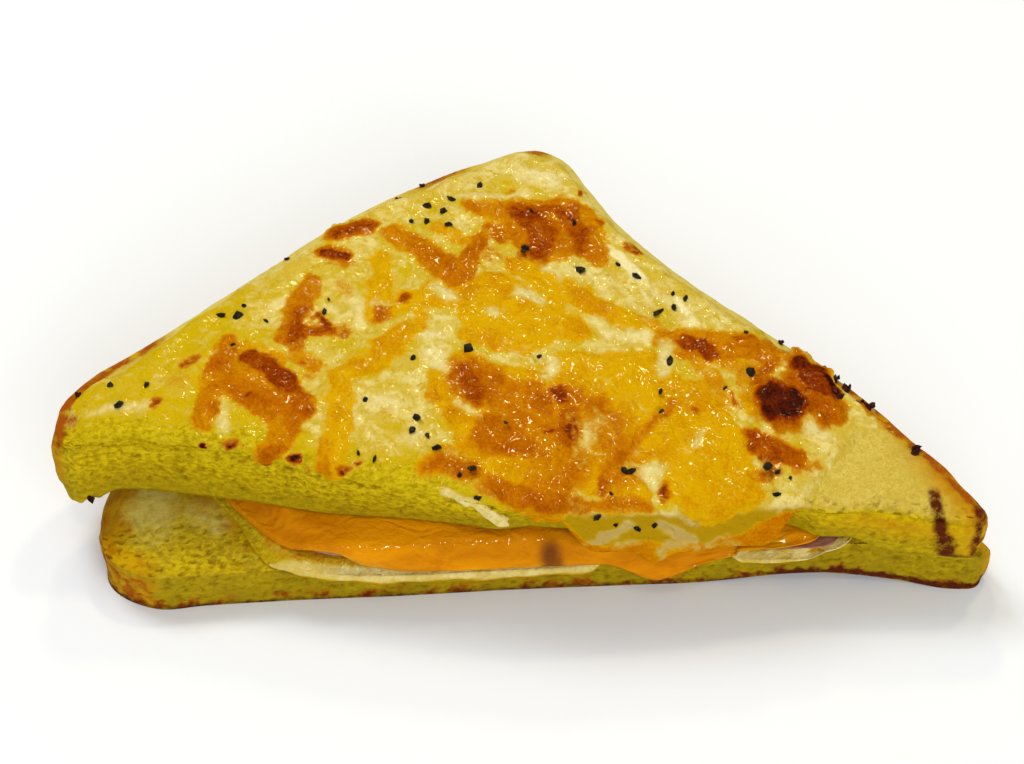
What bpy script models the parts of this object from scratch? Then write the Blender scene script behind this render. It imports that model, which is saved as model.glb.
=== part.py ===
"""Croque monsieur: half of a square toasted sandwich, cut from corner to corner, lying on its toasted base.

+X runs along the cut, +Y points from the cut to the whole corner of the bread and +Z is up. The origin lies
on the table below the middle of the sandwich. The constants and every function work in millimetres, and the
meshes are scaled to metres as they are made.

From the table up it is a slice of bread, white sauce, ham, a slice of cheddar, the upper slice of bread, a
skin of white sauce that runs down over the cut, and patches of grated cheddar melted on the sauce. Pepper
flakes are fused to the sauce.
"""

import math
import random

import bmesh
import bpy
import numpy as np
from mathutils import Euler, Matrix, Vector

MM = 0.001
GAP = 0.3  # clear space between neighbouring solids
BEDDING = 0.15  # more of it above the base slice, whose wide face has long facets
CENTRE = (1.95, 1.2)  # subtracted from every plan position, so that the box is centred on the origin

# Outlines in plan. Each is a pair of smooth lines between the same two end points, left to right: the cut or
# front line first, then the crust or back line.
TOP_CUT = (
    (-76.5, -24), (-74, -26.6), (-65, -26), (-52, -28), (-43, -29.8), (-30, -33.8), (-10, -37.7), (5, -40),
    (20, -40.2), (31, -39.4), (47, -37), (64, -36.8), (73.5, -37.6), (77.5, -37), (78.6, -35),
)
TOP_CRUST = (
    (-76.5, -24), (-75.4, -17), (-71, -11.6), (-61, -3.7), (-46, 9.5), (-31, 23.2), (-16, 34), (-5, 40),
    (3.5, 43.2), (9, 40.4), (14, 31.6), (19, 22.8), (29.5, 10.8), (44, -1.3), (59, -13.3), (68.5, -23),
    (75, -30.5), (78.6, -35),
)
BASE_CUT = (
    (-69.6, -30), (-68.6, -35.6), (-65.6, -38.7), (-59.5, -41), (-52, -40.2), (-36, -39), (-19, -38.1),
    (-2, -36.9), (15, -36), (32, -35.3), (49, -35.1), (66, -35.5), (74.6, -36.6), (79, -36.2), (80.4, -33.6),
)
BASE_CRUST = (
    (-69.6, -30), (-69, -22), (-65, -15.5), (-51, -3.5), (-36, 9), (-20, 22), (-8, 31.5), (-1, 36), (5, 34.6),
    (10, 28), (16, 20), (29, 8), (44, -4.5), (59, -16.5), (71, -25.5), (78, -30.5), (80.4, -33.6),
)
SAUCE_FRONT = (
    (-58, -17), (-53, -22), (-48.5, -26.5), (-45.5, -31), (-43, -35.5), (-40, -38.8), (-35, -40.2),
    (-27, -40.6), (-10, -39.4),
    (2, -38.6), (13, -37.6), (17, -35.7), (26, -35), (35, -35), (39, -36.6), (45, -37.1), (52, -37),
    (55.5, -35.8), (58, -32.5), (58.5, -30),
)
SAUCE_BACK = (
    (-58, -17), (-54, -9), (-40, 3), (-22, 18), (-8, 28), (0, 31.5), (7, 28), (18, 14), (34, -2), (50, -18),
    (57, -26), (58.5, -30),
)
HAM_FRONT = (
    (-50, -20), (-46, -26), (-38, -34.5), (-30, -37.8), (-10, -36.9), (5, -35.9), (20, -34.5), (34, -34.3),
    (40, -35.9), (48, -36.1), (53, -35.9), (56, -33), (56.5, -30.5),
)
HAM_BACK = (
    (-50, -20), (-40, -8), (-22, 8), (-6, 20), (1, 24), (8, 20), (20, 6), (36, -10), (49, -21), (56.5, -30.5),
)
CHEDDAR_FRONT = (
    (-53, -18), (-50.5, -22.5), (-47.5, -26.8), (-44.5, -30.2), (-41, -33.6), (-37, -36.6), (-31, -38.6),
    (-23, -40), (-10, -40.4), (3, -39.6), (15, -38.9), (24, -39.6), (31, -38.6), (38, -37.4), (46, -36.6),
    (51.5, -34.5), (53, -31),
)
CHEDDAR_BACK = (
    (-53, -18), (-50, -11), (-40, -2), (-24, 12), (-8, 24), (0, 28), (6, 25), (16, 12), (30, -2), (44, -16),
    (52, -26), (53, -31),
)
SAMPLES = 240  # points along each smooth line
REST_ROWS = 3  # rows of a slab behind those that keep their distance from its front line
NEAR_SHARE = 0.4  # of the way to the back line, the most that the near rows take where a slab is narrow
CELL = 3.4  # of the lattice that the topping is cut from
LATTICE_ROWS = (
    -15.4, -12, -8.6, -5.2, -3, -1.4, -0.4, 0.6, 1.5, 2.5, *(2.5 + CELL * step for step in range(1, 26)),
)

# Heights at the left end, right end and far corner of the sandwich, then how far the surface stands above
# the straight line halfway along the cut, the left crust and the right crust.
LEFT_END = (-77, -25)
RIGHT_END = (79, -35)
FAR_CORNER = (4, 44)
CROWN = (27.4, 19.4, 29.4, 4.0, 1.8, 4.5)  # outside of the topping
UNDER_TOP = (13.0, 9.6, 13.0, 3.6, 1.5, 2.2)  # underside of the upper slice
BASE_HEIGHT = 8.6
SKIN = 1.5  # from the bread up to the crown where the sauce lies
EDGE_RADIUS = 2.5  # how tightly the sauce turns over the cut edge
LAYER_SHARES = (0.29, 0.27, 0.44)  # of the room between the slices: sauce, ham, cheddar
HANG = 10.4  # how far the sauce runs down over the cut
DRIP = 3.0  # how much further its longest drip runs
DRIP_X = 24.0
BARE_END = (78, -46, 29)  # middle and radius of the end that has no sauce
PATCH_CLEARANCE = 0.7  # between patches of cheddar

# Melted cheddar, as strokes of (x, y, half width), with the thickness of each patch at its middle. A y beyond
# the cut edge lies that far down the front.
CHEDDAR_PATCHES = {
    "cheddar_melt_corner": (1.3, (
        ((-7, 26.5, 2.4), (1, 24, 3.8), (10, 24, 3.8)), ((2, 21, 4.4), (7, 16, 4.4)),
        ((12, 22, 3.6), (15, 13, 2.2)), ((0, 29, 1.5), (2, 25, 2)))),
    "cheddar_melt_left_crust": (1.1, (((-31.5, 18.9, 1.7), (-25, 21, 2.1)),)),
    "cheddar_melt_hook": (1.2, (
        ((-20.5, 18.8, 2.3), (-15.5, 14.8, 2.8), (-9.5, 8, 2.8)), ((-5.5, 18, 1.6), (-8.5, 10, 2.3)))),
    "cheddar_melt_spot": (1.0, (((-33, 14.4, 1.4), (-29, 14, 1.4)),)),
    "cheddar_melt_blister": (1.5, (
        ((-35, 7.5, 1.9), (-37, 0, 2.4), (-38, -5, 2.1)), ((-36, -4, 1.8), (-31, -4, 1.6)))),
    "cheddar_melt_net": (1.0, (
        ((-22.5, 12.5, 2), (-23, -0.5, 2.3)), ((-23, -0.5, 2.2), (-18, 3, 2.4)),
        ((-18, 3, 2.2), (-9, 4, 3), (-3, 6, 3.2)), ((-3, 6, 3.2), (5, -1, 4.5), (11, -4, 2.6)),
        ((-6, 0, 3), (5, -5, 3)), ((1, 11, 2.2), (8.5, 5.5, 2.6), (15, 1.5, 2.4), (23, -3.6, 2)),
        ((5, 8, 2), (6, 0, 3)))),
    "cheddar_melt_strand": (1.0, (
        ((-17.5, -4, 2.3), (-24, -11, 2.5)), ((-24, -11, 2.2), (-28.6, -13.5, 2.3), (-29, -27, 2.2)),
        ((-29, -27, 2.2), (-29.5, -35, 1.5)))),
    "cheddar_melt_arch": (1.4, (
        ((-48, -7, 1.9), (-49.5, -13, 2.8), (-51.4, -23.5, 1.8)),
        ((-49, -14, 3.1), (-43, -17.5, 3.4), (-38, -21.5, 3.4)),
        ((-44.5, -10.5, 2.3), (-39.5, -14.5, 2.7), (-35, -20.5, 2.8)),
        ((-36, -21, 3.1), (-38.5, -27.5, 2.5), (-40.6, -31.5, 2.1)))),
    "cheddar_melt_middle": (1.3, (
        ((-11, -14, 3.4), (-8, -18, 4.6), (-4, -30, 4.6)), ((-8, -12, 3), (0, -17, 4.6), (8, -17, 4.6)),
        ((8, -12, 3.4), (19, -11, 3), (23, -9, 2)), ((4, -20, 5.4), (4, -35, 6), (6, -40, 3.4)),
        ((-4, -30, 4.6), (2, -38, 3.6)), ((12, -18, 4), (18, -20, 3.6), (17, -28, 3)),
        ((21, -14, 4), (29, -18, 5), (34, -26, 5.6)), ((24, -24, 4), (30, -34, 5.4), (33, -38, 4.4)),
        ((34, -26, 5), (37, -35, 4.2)), ((12, -32, 3.6), (20, -36, 3)))),
    "cheddar_melt_right": (1.3, (
        ((25.5, -5, 2.2), (32, -6, 3.4), (39, -6, 3)), ((39, -6, 2.8), (44, -7, 2)))),
    "cheddar_melt_char": (3.0, (
        ((43.5, -16.5, 4.5), (46.5, -17.5, 4.2)), ((48.5, -9, 2.6), (51.5, -12, 2.8)),
        ((49, -13, 3.2), (53.8, -18.5, 2.9)), ((46, -20.5, 2.8), (51, -20.5, 2.4)))),
    "cheddar_melt_brown": (0.9, (((40.5, -25, 2.1), (44, -27, 2.8), (47.5, -28, 1.8)),)),
}
BURNT = "cheddar_melt_char"
NARROW = ("cheddar_melt_left_crust", "cheddar_melt_spot", "cheddar_melt_blister", "cheddar_melt_strand")

# Where cracked pepper was thrown: (x, y, spread, flakes).
PEPPER = (
    (-12, 25, 5, 4), (-15, 21, 3, 2), (-5, 31, 1, 1), (20, 11, 4, 2), (28, 4, 2, 3), (25, -1, 2, 1),
    (12, 9, 1, 1), (25, -9, 2, 1), (-48, 1, 3, 3), (-42, -1, 1, 1), (-44, 11, 1, 1), (-32, 1, 2, 2),
    (-15, -10, 2, 1), (-24, -20, 1, 1), (-24, -32, 3, 3), (-14, -27, 4, 4), (45, -32, 3, 2),
    (22, -43, 6, 3), (-68, -16, 3, 2), (40, -11, 2, 1), (-58, -16, 4, 1),
)
FLAKE_SIZE = (0.62, 0.95)  # half the length of a flake
FLAKE_CLEARANCE = 1.5  # from the cheddar, and from the rim of the sauce
SEED = 11

CRUMB = (0.73, 0.60, 0.12)
SAUCE = (0.83, 0.76, 0.50)
HAM = (0.52, 0.30, 0.25)
CHEDDAR = (0.86, 0.42, 0.03)
MELTED = (0.78, 0.36, 0.03)
CHAR = (0.22, 0.07, 0.03)


def eased(t):
    """0 below 0, 1 above 1, and a smooth rise between."""
    t = np.clip(t, 0.0, 1.0)
    return t * t * (3 - 2 * t)


def hump(x, middle, reach):
    """1 at the middle, falling smoothly to 0 at the reach on both sides."""
    return eased(1 - np.abs(x - middle) / reach)


def smooth_line(corners):
    """A centripetal Catmull-Rom line through the corners, as evenly spaced points."""
    p = np.array(corners, float)
    ends = np.vstack([2 * p[0] - p[1], p, 2 * p[-1] - p[-2]])
    pieces = []
    for p0, p1, p2, p3 in zip(ends, ends[1:], ends[2:], ends[3:]):
        t0 = 0.0
        t1 = t0 + np.linalg.norm(p1 - p0) ** 0.5
        t2 = t1 + np.linalg.norm(p2 - p1) ** 0.5
        t3 = t2 + np.linalg.norm(p3 - p2) ** 0.5
        t = np.linspace(t1, t2, 24, endpoint=False)[:, None]
        a1 = (t1 - t) / (t1 - t0) * p0 + (t - t0) / (t1 - t0) * p1
        a2 = (t2 - t) / (t2 - t1) * p1 + (t - t1) / (t2 - t1) * p2
        a3 = (t3 - t) / (t3 - t2) * p2 + (t - t2) / (t3 - t2) * p3
        b1 = (t2 - t) / (t2 - t0) * a1 + (t - t0) / (t2 - t0) * a2
        b2 = (t3 - t) / (t3 - t1) * a2 + (t - t1) / (t3 - t1) * a3
        pieces.append((t2 - t) / (t2 - t1) * b1 + (t - t1) / (t2 - t1) * b2)
    dense = np.vstack(pieces + [p[-1:]])
    run = np.concatenate([[0.0], np.cumsum(np.linalg.norm(np.diff(dense, axis=0), axis=1))])
    even = np.linspace(0.0, run[-1], SAMPLES + 1)
    return np.column_stack([np.interp(even, run, dense[:, 0]), np.interp(even, run, dense[:, 1])])


def along(line, fraction):
    """Points of a smooth line at fractions of its length."""
    at = np.clip(fraction, 0.0, 1.0) * SAMPLES
    steps = np.arange(SAMPLES + 1)
    return np.column_stack([np.interp(at, steps, line[:, 0]), np.interp(at, steps, line[:, 1])])


def distance_inside(line, x, y):
    """How far a point is on the right-hand side of a line walked from its start, and below 0 on its left."""
    points = np.column_stack([x, y])
    away = points[:, None, :] - line[None, :, :]
    far = np.hypot(away[..., 0], away[..., 1])
    nearest = far.argmin(axis=1)
    heading = np.gradient(line, axis=0)[nearest]
    apart = away[np.arange(len(points)), nearest]
    return -np.sign(heading[:, 0] * apart[:, 1] - heading[:, 1] * apart[:, 0]) * far.min(axis=1)


TOP_CUT_LINE = smooth_line(TOP_CUT)
TOP_CRUST_LINE = smooth_line(TOP_CRUST)
BASE_CUT_LINE = smooth_line(BASE_CUT)
BASE_CRUST_LINE = smooth_line(BASE_CRUST)


def cut_of_top(x):
    return np.interp(x, TOP_CUT_LINE[:, 0], TOP_CUT_LINE[:, 1])


def cut_of_base(x):
    return np.interp(x, BASE_CUT_LINE[:, 0], BASE_CUT_LINE[:, 1])


def sagging(x, y, left, right, far, along_cut, along_left, along_right):
    """The height of a surface that is hung from the three corners of the sandwich."""
    corner = np.array(FAR_CORNER, float)
    sides = np.column_stack([np.array(LEFT_END) - corner, np.array(RIGHT_END) - corner])
    to_left, to_right = np.linalg.inv(sides) @ np.stack([x - corner[0], y - corner[1]])
    to_far = 1 - to_left - to_right
    flat = to_left * left + to_right * right + to_far * far
    swell = along_cut * to_left * to_right + along_left * to_left * to_far + along_right * to_right * to_far
    return flat + 4 * swell


def lumps(x, y):
    """Gentle unevenness of the baked sauce."""
    broad = np.sin(0.43 * x + 0.9) * np.sin(0.38 * y + 0.4) + 0.6 * np.sin(0.71 * x - 0.5 * y + 1.7)
    return 0.3 * broad


def beyond_bare(x, y):
    """How far a point is from the bare right-hand end of the upper slice, below 0 on it."""
    return np.hypot(x - BARE_END[0], y - BARE_END[1]) - BARE_END[2]


def flow_inset(x):
    """How far the bread stands back from the cut line where sauce runs down over it."""
    return (SKIN + 0.25) * eased((x + 4) / 8) * eased((52 - x) / 6)


def crumb_top(x, y):
    """The upper face of the upper slice, with its edges rounded."""
    from_crust = distance_inside(TOP_CRUST_LINE, x, y)
    from_cut = y - cut_of_top(x) - flow_inset(x)
    roll = 0.8 * (1 - eased(from_crust / 4.5)) ** 2 + 0.5 * (1 - eased(from_cut / 1.4)) ** 2
    return sagging(x, y, *CROWN) - SKIN * eased((beyond_bare(x, y) + 9) / 8) - roll


def crumb_under(x, y):
    """The lower face of the upper slice, pinched down to the base beyond the filling."""
    from_crust = distance_inside(TOP_CRUST_LINE, x, y)
    pinch = 0.8 * hump(x, 62, 14) * eased(1 - (y - cut_of_base(x)) / 20)
    least = base_top(x, y) + 0.5 + 2.2 * eased((62 - x) / 6)
    hung = np.maximum(sagging(x, y, *UNDER_TOP) - pinch, least)
    return hung + 1.2 * (1 - eased(from_crust / 4)) ** 2


def arch(x, y):
    """How far the base curls up off the table along its cut."""
    return 2.6 * hump(x, 52, 24) * eased(1 - (y - cut_of_base(x)) / 26)


def base_top(x, y):
    """The upper face of the base slice, pressed thinner where the filling is cut."""
    behind = np.maximum(y - cut_of_base(x), 0)
    pressed = 2.0 * eased((x + 38) / 26) * eased((62 - x) / 16) * eased(1 - behind / 24)
    return BASE_HEIGHT + 0.9 * eased(behind / 24) - pressed + arch(x, y)


def filling(x, y):
    """The lower and upper faces of the sauce, ham and cheddar in turn, away from their front lips."""
    inner = np.maximum(y, cut_of_base(x))
    floor = base_top(x, inner) + GAP + BEDDING
    room = np.maximum(crumb_under(x, np.maximum(y, cut_of_top(x))) - floor - 3 * GAP, 0.9)
    sauce = floor + LAYER_SHARES[0] * room
    ham = sauce + GAP + LAYER_SHARES[1] * room
    cheddar = ham + GAP + LAYER_SHARES[2] * room
    return (floor, sauce), (sauce + GAP, ham), (ham + GAP, cheddar)


def overhang(x, y):
    """How far a point stands out past the cut of the base slice."""
    return cut_of_base(x) - y


def draped(x, y, raised, rough=1.0):
    """A point of the topping, at a height over the crown. A y beyond the cut edge turns down the front.

    rough is the share of the lumps that the surface follows.
    """
    edge = cut_of_top(x) + EDGE_RADIUS
    past = edge - y
    turn = np.clip(past / EDGE_RADIUS, 0, math.pi / 2)
    radius = EDGE_RADIUS + raised
    inner = np.maximum(y, edge)
    top = sagging(x, inner, *CROWN) + rough * lumps(x, inner)
    over = past > 0
    out = np.where(over, edge - radius * np.sin(turn), y)
    fall = np.maximum(past - EDGE_RADIUS * math.pi / 2, 0)
    height = np.where(over, top - EDGE_RADIUS + radius * np.cos(turn) - fall, top + raised)
    return np.column_stack([x, out, height])


def stroke_field(strokes, x, y):
    """How far a point is inside the nearest of the strokes, in millimetres, below 0 outside them all."""
    best = np.full(len(x), -99.0)
    for stroke in strokes:
        for (x0, y0, r0), (x1, y1, r1) in zip(stroke, stroke[1:]):
            run = max((x1 - x0) ** 2 + (y1 - y0) ** 2, 1e-9)
            t = np.clip(((x - x0) * (x1 - x0) + (y - y0) * (y1 - y0)) / run, 0, 1)
            inside = r0 + (r1 - r0) * t - np.hypot(x - x0 - t * (x1 - x0), y - y0 - t * (y1 - y0))
            best = np.maximum(best, inside)
    return best


def sauce_field(x, y):
    """How far a point is inside the outline of the topping of sauce."""
    rim = 1.2 + 1.8 * hump(x, -68, 22) + 1.6 * hump(x, -10, 14)
    hang = HANG * eased((x - 4) / 10) * eased((49 - x) / 7) + DRIP * hump(x, DRIP_X, 4.5)
    front = y - cut_of_top(x) - 1.6 + 1.8 * eased((x + 4) / 8) * eased((52 - x) / 6) + hang
    return np.minimum.reduce([distance_inside(TOP_CRUST_LINE, x, y) - rim, front, beyond_bare(x, y), x + 71])


def patch_field(name, x, y):
    """How far a point is inside a patch of cheddar, kept clear of the patches listed before it."""
    inside = stroke_field(CHEDDAR_PATCHES[name][1], x, y)
    for other, (_, strokes) in CHEDDAR_PATCHES.items():
        if other == name:
            return inside
        inside = np.minimum(inside, -stroke_field(strokes, x, y) - PATCH_CLEARANCE)


def finish(name, colour, roughness):
    """A Principled material."""
    material = bpy.data.materials.new(name)
    material.use_nodes = True
    shader = material.node_tree.nodes["Principled BSDF"]
    shader.inputs["Base Color"].default_value = (*colour, 1)
    shader.inputs["Roughness"].default_value = roughness
    shader.inputs["Metallic"].default_value = 0
    return material


def add_object(bm, name, collection, colour, roughness):
    """Turns a bmesh in millimetres into a named object in metres."""
    shift = Matrix.Translation((-CENTRE[0], -CENTRE[1], 0))
    bmesh.ops.transform(bm, matrix=Matrix.Scale(MM, 4) @ shift, verts=bm.verts)
    bmesh.ops.recalc_face_normals(bm, faces=bm.faces)
    mesh = bpy.data.meshes.new(name)
    bm.to_mesh(mesh)
    bm.free()
    mesh.shade_smooth()
    mesh.set_sharp_from_angle(angle=math.radians(50))
    mesh.materials.append(finish(name, colour, roughness))
    obj = bpy.data.objects.new(name, mesh)
    collection.objects.link(obj)
    return obj


def flat_grid(columns, rows):
    """A bmesh grid over the unit square around the origin."""
    bm = bmesh.new()
    bmesh.ops.create_grid(bm, x_segments=columns, y_segments=rows, size=0.5)
    return bm


def both_layers(bm):
    """Extrudes an open surface into a closed one, and returns the lower and the upper vertices."""
    lower = list(bm.verts)
    copied = bmesh.ops.extrude_face_region(bm, geom=bm.faces[:], use_keep_orig=True)
    upper = [item for item in copied["geom"] if isinstance(item, bmesh.types.BMVert)]
    return lower, upper


def coordinates(vertices):
    """The x and y of some vertices as two arrays."""
    at = np.array([vertex.co[:2] for vertex in vertices])
    return at[:, 0], at[:, 1]


def place(vertices, points):
    """Moves each vertex to its point."""
    for vertex, point in zip(vertices, points):
        vertex.co = point


def spread(front, back, near, v):
    """Places between two lines: near rows keep their distance from the front, the rest share what is left."""
    length = np.hypot(*(back - front).T)
    last = len(near) - 1
    row = np.rint(v * (last + REST_ROWS)).astype(int)
    scale = np.minimum(1.0, NEAR_SHARE * length / near[-1])
    reached = near[-1] * scale
    kept = np.array(near, float)[np.minimum(row, last)] * scale
    shared = reached + (length - reached) * (row - last) / REST_ROWS
    share = np.where(row <= last, kept, shared) / np.maximum(length, 1e-6)
    return front + (back - front) * share[:, None]


def slab(name, collection, colour, roughness, lines, near, columns, faces, wall_cuts=0, bulge=0.0):
    """A closed slab between two faces.

    lines gives the front and back lines of the lower and of the upper face. faces gives the height of each.
    wall_cuts are rings added round the side, which swells by the bulge along the back line.
    """
    rows = len(near) - 1 + REST_ROWS
    bm = flat_grid(columns, rows)
    lower, upper = both_layers(bm)
    places = []
    for vertices, (front, back), height in zip((lower, upper), lines, faces):
        x, y = coordinates(vertices)
        u, v = x + 0.5, y + 0.5
        plan = spread(along(front, u), along(back, u), near, v)
        places.append(np.column_stack([plan, height(plan[:, 0], plan[:, 1])]))
    floor = set(lower)
    walls = [edge for edge in bm.edges if len(floor.intersection(edge.verts)) == 1]
    for vertices, points in zip((lower, upper), places):
        place(vertices, points)
    if wall_cuts:
        made = bmesh.ops.subdivide_edges(bm, edges=walls, cuts=wall_cuts)
        ring = [item for item in made["geom_inner"] if isinstance(item, bmesh.types.BMVert)]
        swell_side(bm, ring, lines[0][1], bulge)
    bmesh.ops.remove_doubles(bm, verts=bm.verts, dist=0.02)
    return add_object(bm, name, collection, colour, roughness)


def swell_side(bm, ring, back, bulge):
    """Pushes the rings of a side wall outwards along the crust."""
    bm.normal_update()
    x, y = coordinates(ring)
    near_crust = eased(1 - np.abs(distance_inside(back, x, y)) / 3)
    for vertex, share in zip(ring, near_crust):
        outward = Vector((vertex.normal.x, vertex.normal.y, 0))
        if outward.length > 0.1:
            vertex.co += outward.normalized() * bulge * share


def skin(x_range, y_range, field, lower, upper, finer=1):
    """A closed layer over the part of a range where a field is above 0, bent to shape by two functions.

    Every skin is cut from one lattice, closer where the topping turns over the cut, so that layers lie
    together. finer is the number of cells that a narrow skin has in place of each.
    """
    cell = CELL / finer
    columns = range(math.floor(x_range[0] / cell), math.ceil(x_range[1] / cell) + 1)
    steps = np.arange((len(LATTICE_ROWS) - 1) * finer + 1) / finer
    lattice = np.interp(steps, np.arange(len(LATTICE_ROWS)), LATTICE_ROWS)
    rows = [row for row in lattice if y_range[0] - cell < row < y_range[1] + cell]
    bm = flat_grid(len(columns) - 1, len(rows) - 1)
    for vertex in bm.verts:
        vertex.co.x = cell * columns[round((vertex.co.x + 0.5) * (len(columns) - 1))]
        vertex.co.y = rows[round((vertex.co.y + 0.5) * (len(rows) - 1))] + cut_of_top(vertex.co.x)
    bmesh.ops.triangulate(bm, faces=bm.faces)
    for vertex, height in zip(bm.verts, field(*coordinates(bm.verts))):
        vertex.co.z = height
    everything = bm.verts[:] + bm.edges[:] + bm.faces[:]
    bmesh.ops.bisect_plane(bm, geom=everything, plane_co=(0, 0, 0), plane_no=(0, 0, 1), clear_inner=True)
    for vertex in bm.verts:
        vertex.co.z = 0
    bmesh.ops.remove_doubles(bm, verts=bm.verts, dist=cell * 0.22)
    bottom, top = both_layers(bm)
    for vertices, bend in ((bottom, lower), (top, upper)):
        place(vertices, bend(*coordinates(vertices)))
    bmesh.ops.triangulate(bm, faces=bm.faces)
    return bm


def stroke_ranges(strokes):
    """The range of x, and of y behind the cut edge, that some strokes cover."""
    points = np.array([point for stroke in strokes for point in stroke])
    behind = points[:, 1] - cut_of_top(points[:, 0])
    reach = points[:, 2] + 1
    x_range = (points[:, 0] - reach).min(), (points[:, 0] + reach).max()
    return x_range, ((behind - 2 * reach).min(), (behind + 2 * reach).max())


def bread_bottom(collection):
    def under(x, y):
        from_crust = distance_inside(BASE_CRUST_LINE, x, y)
        return arch(x, y) + 1.0 * (1 - eased(from_crust / 2.5)) ** 2

    def over(x, y):
        from_crust = distance_inside(BASE_CRUST_LINE, x, y)
        return base_top(x, y) - 1.0 * (1 - eased(from_crust / 3)) ** 2

    lines = ((BASE_CUT_LINE, BASE_CRUST_LINE),) * 2
    slab("bread_bottom", collection, CRUMB, 0.8, lines, (0, 1.2, 4, 8, 13, 19, 26), 38, (under, over), 2, 0.9)


def bread_top(collection):
    def cut_line(lean):
        """The cut line of the upper slice, moved back by the flow of sauce and by how far the cut leans."""
        x, y = TOP_CUT_LINE.T
        ends = np.minimum(1, np.minimum(x - x[0], x[-1] - x) / 6)
        back = flow_inset(x) + lean * eased((x + 48) / 40) * eased((66 - x) / 30)
        return np.column_stack([x, y + back * eased(ends)])

    lines = ((cut_line(3.2), TOP_CRUST_LINE), (cut_line(0), TOP_CRUST_LINE))
    slab("bread_top", collection, CRUMB, 0.8, lines, (0, 0.9, 4, 9, 16), 40, (crumb_under, crumb_top), 2, 0.8)


def sauce_lower(collection):
    def under(x, y):
        (floor, _), _, _ = filling(x, y)
        return floor - 1.6 * eased((overhang(x, y) - 0.45) / 0.9) * eased((53 - x) / 5)

    def over(x, y):
        (floor, top), _, _ = filling(x, y)
        lip = eased((overhang(x, y) + 1) / 3)
        return np.maximum(top - 1.2 * lip, under(x, y) + 0.4)

    lines = ((smooth_line(SAUCE_FRONT), smooth_line(SAUCE_BACK)),) * 2
    near = (0, 0.35, 0.8, 1.5, 3.2, 8, 14, 21)
    slab("sauce_lower", collection, SAUCE, 0.35, lines, near, 30, (under, over))


def ham(collection):
    lines = ((smooth_line(HAM_FRONT), smooth_line(HAM_BACK)),) * 2
    faces = (lambda x, y: filling(x, y)[1][0], lambda x, y: filling(x, y)[1][1])
    slab("ham", collection, HAM, 0.45, lines, (0, 2, 6.5, 12.5, 19.5), 24, faces)


def cheddar_slice(collection):
    def under(x, y):
        _, _, (floor, _) = filling(x, y)
        _, (ham_floor, _), _ = filling(x, y)
        past = overhang(x, y)
        drip = 3.2 * hump(x, DRIP_X, 9) * eased((past - 1) / 1.4)
        sag = (floor - ham_floor) * eased((past - 0.4) / 1.2) + drip
        return floor - np.where(x < 38, sag, 0)

    def over(x, y):
        _, _, (_, top) = filling(x, y)
        fall = 0.22 * np.maximum(overhang(x, y) + 1, 0) ** 2
        return np.maximum(top - fall, under(x, y) + 0.5)

    lines = ((smooth_line(CHEDDAR_FRONT), smooth_line(CHEDDAR_BACK)),) * 2
    near = (0, 0.35, 0.9, 1.7, 2.8, 5, 10, 16)
    slab("cheddar_slice", collection, CHEDDAR, 0.3, lines, near, 32, (under, over))


def cheddar_patch(name, collection):
    """One patch of melted cheddar, as a low dome on the sauce."""
    thickness, strokes = CHEDDAR_PATCHES[name]

    def field(x, y):
        return patch_field(name, x, y)

    def under(x, y):
        return draped(x, y, GAP)

    def over(x, y):
        return draped(x, y, GAP + 0.35 + (thickness - 0.35) * eased(field(x, y) / 3))

    bm = skin(*stroke_ranges(strokes), field, under, over, 2 if name in NARROW else 1)
    return add_object(bm, name, collection, CHAR if name == BURNT else MELTED, 0.35)


def flake_positions():
    """Where pepper lies on bare sauce, drawn round each place it was thrown."""
    draw = random.Random(SEED)
    found = []
    for x, y, reach, count in PEPPER:
        for _ in range(count):
            for _ in range(40):
                at = (x + draw.gauss(0, reach / 2), y + draw.gauss(0, reach / 2))
                one = np.array([at[0]]), np.array([at[1]])
                clear = min(-stroke_field(strokes, *one)[0] for _, strokes in CHEDDAR_PATCHES.values())
                apart = min((math.dist(at, other) for other in found), default=9)
                if sauce_field(*one)[0] > FLAKE_CLEARANCE and clear > FLAKE_CLEARANCE and apart > 2.4:
                    found.append(at)
                    break
    return found, draw


def pepper_flake(at, draw, helpers):
    """One angular chip of pepper, half sunk in the sauce."""
    bm = bmesh.new()
    bmesh.ops.create_cube(bm, size=1.0)
    for vertex in bm.verts:
        vertex.co *= draw.uniform(0.75, 1.15)
    half = draw.uniform(*FLAKE_SIZE)
    turn = Euler((draw.uniform(-0.4, 0.4), draw.uniform(-0.4, 0.4), draw.uniform(0, math.pi)))
    shape = Matrix.Diagonal((2 * half, 1.5 * half, 1.1 * half, 1))
    where = draped(np.array([at[0]]), np.array([at[1]]), 0.2)[0]
    stand = Matrix.Translation(where) @ turn.to_matrix().to_4x4() @ shape
    bmesh.ops.transform(bm, matrix=stand, verts=bm.verts)
    return add_object(bm, "flake", helpers, CHAR, 0.6)


def sauce_top(collection, helpers):
    """The sauce on the upper slice, with pepper fused to it."""
    def under(x, y):
        return draped(x, y, GAP - SKIN, 0)

    def over(x, y):
        return draped(x, y, -0.75 * (1 - eased(sauce_field(x, y) / 3)))

    bm = skin((-73, 66), (-15, 84), sauce_field, under, over)
    obj = add_object(bm, "sauce_top", collection, SAUCE, 0.35)
    places, draw = flake_positions()
    for at in places:
        pepper_flake(at, draw, helpers)
    fuse = obj.modifiers.new("pepper", "BOOLEAN")
    fuse.operation = "UNION"
    fuse.operand_type = "COLLECTION"
    fuse.collection = helpers
    fuse.solver = "MANIFOLD"
    evaluated = obj.evaluated_get(bpy.context.evaluated_depsgraph_get())
    fused = bpy.data.meshes.new_from_object(evaluated)
    obj.modifiers.clear()
    obj.data = fused
    for flake in list(helpers.objects):
        bpy.data.objects.remove(flake)
    return obj


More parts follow.
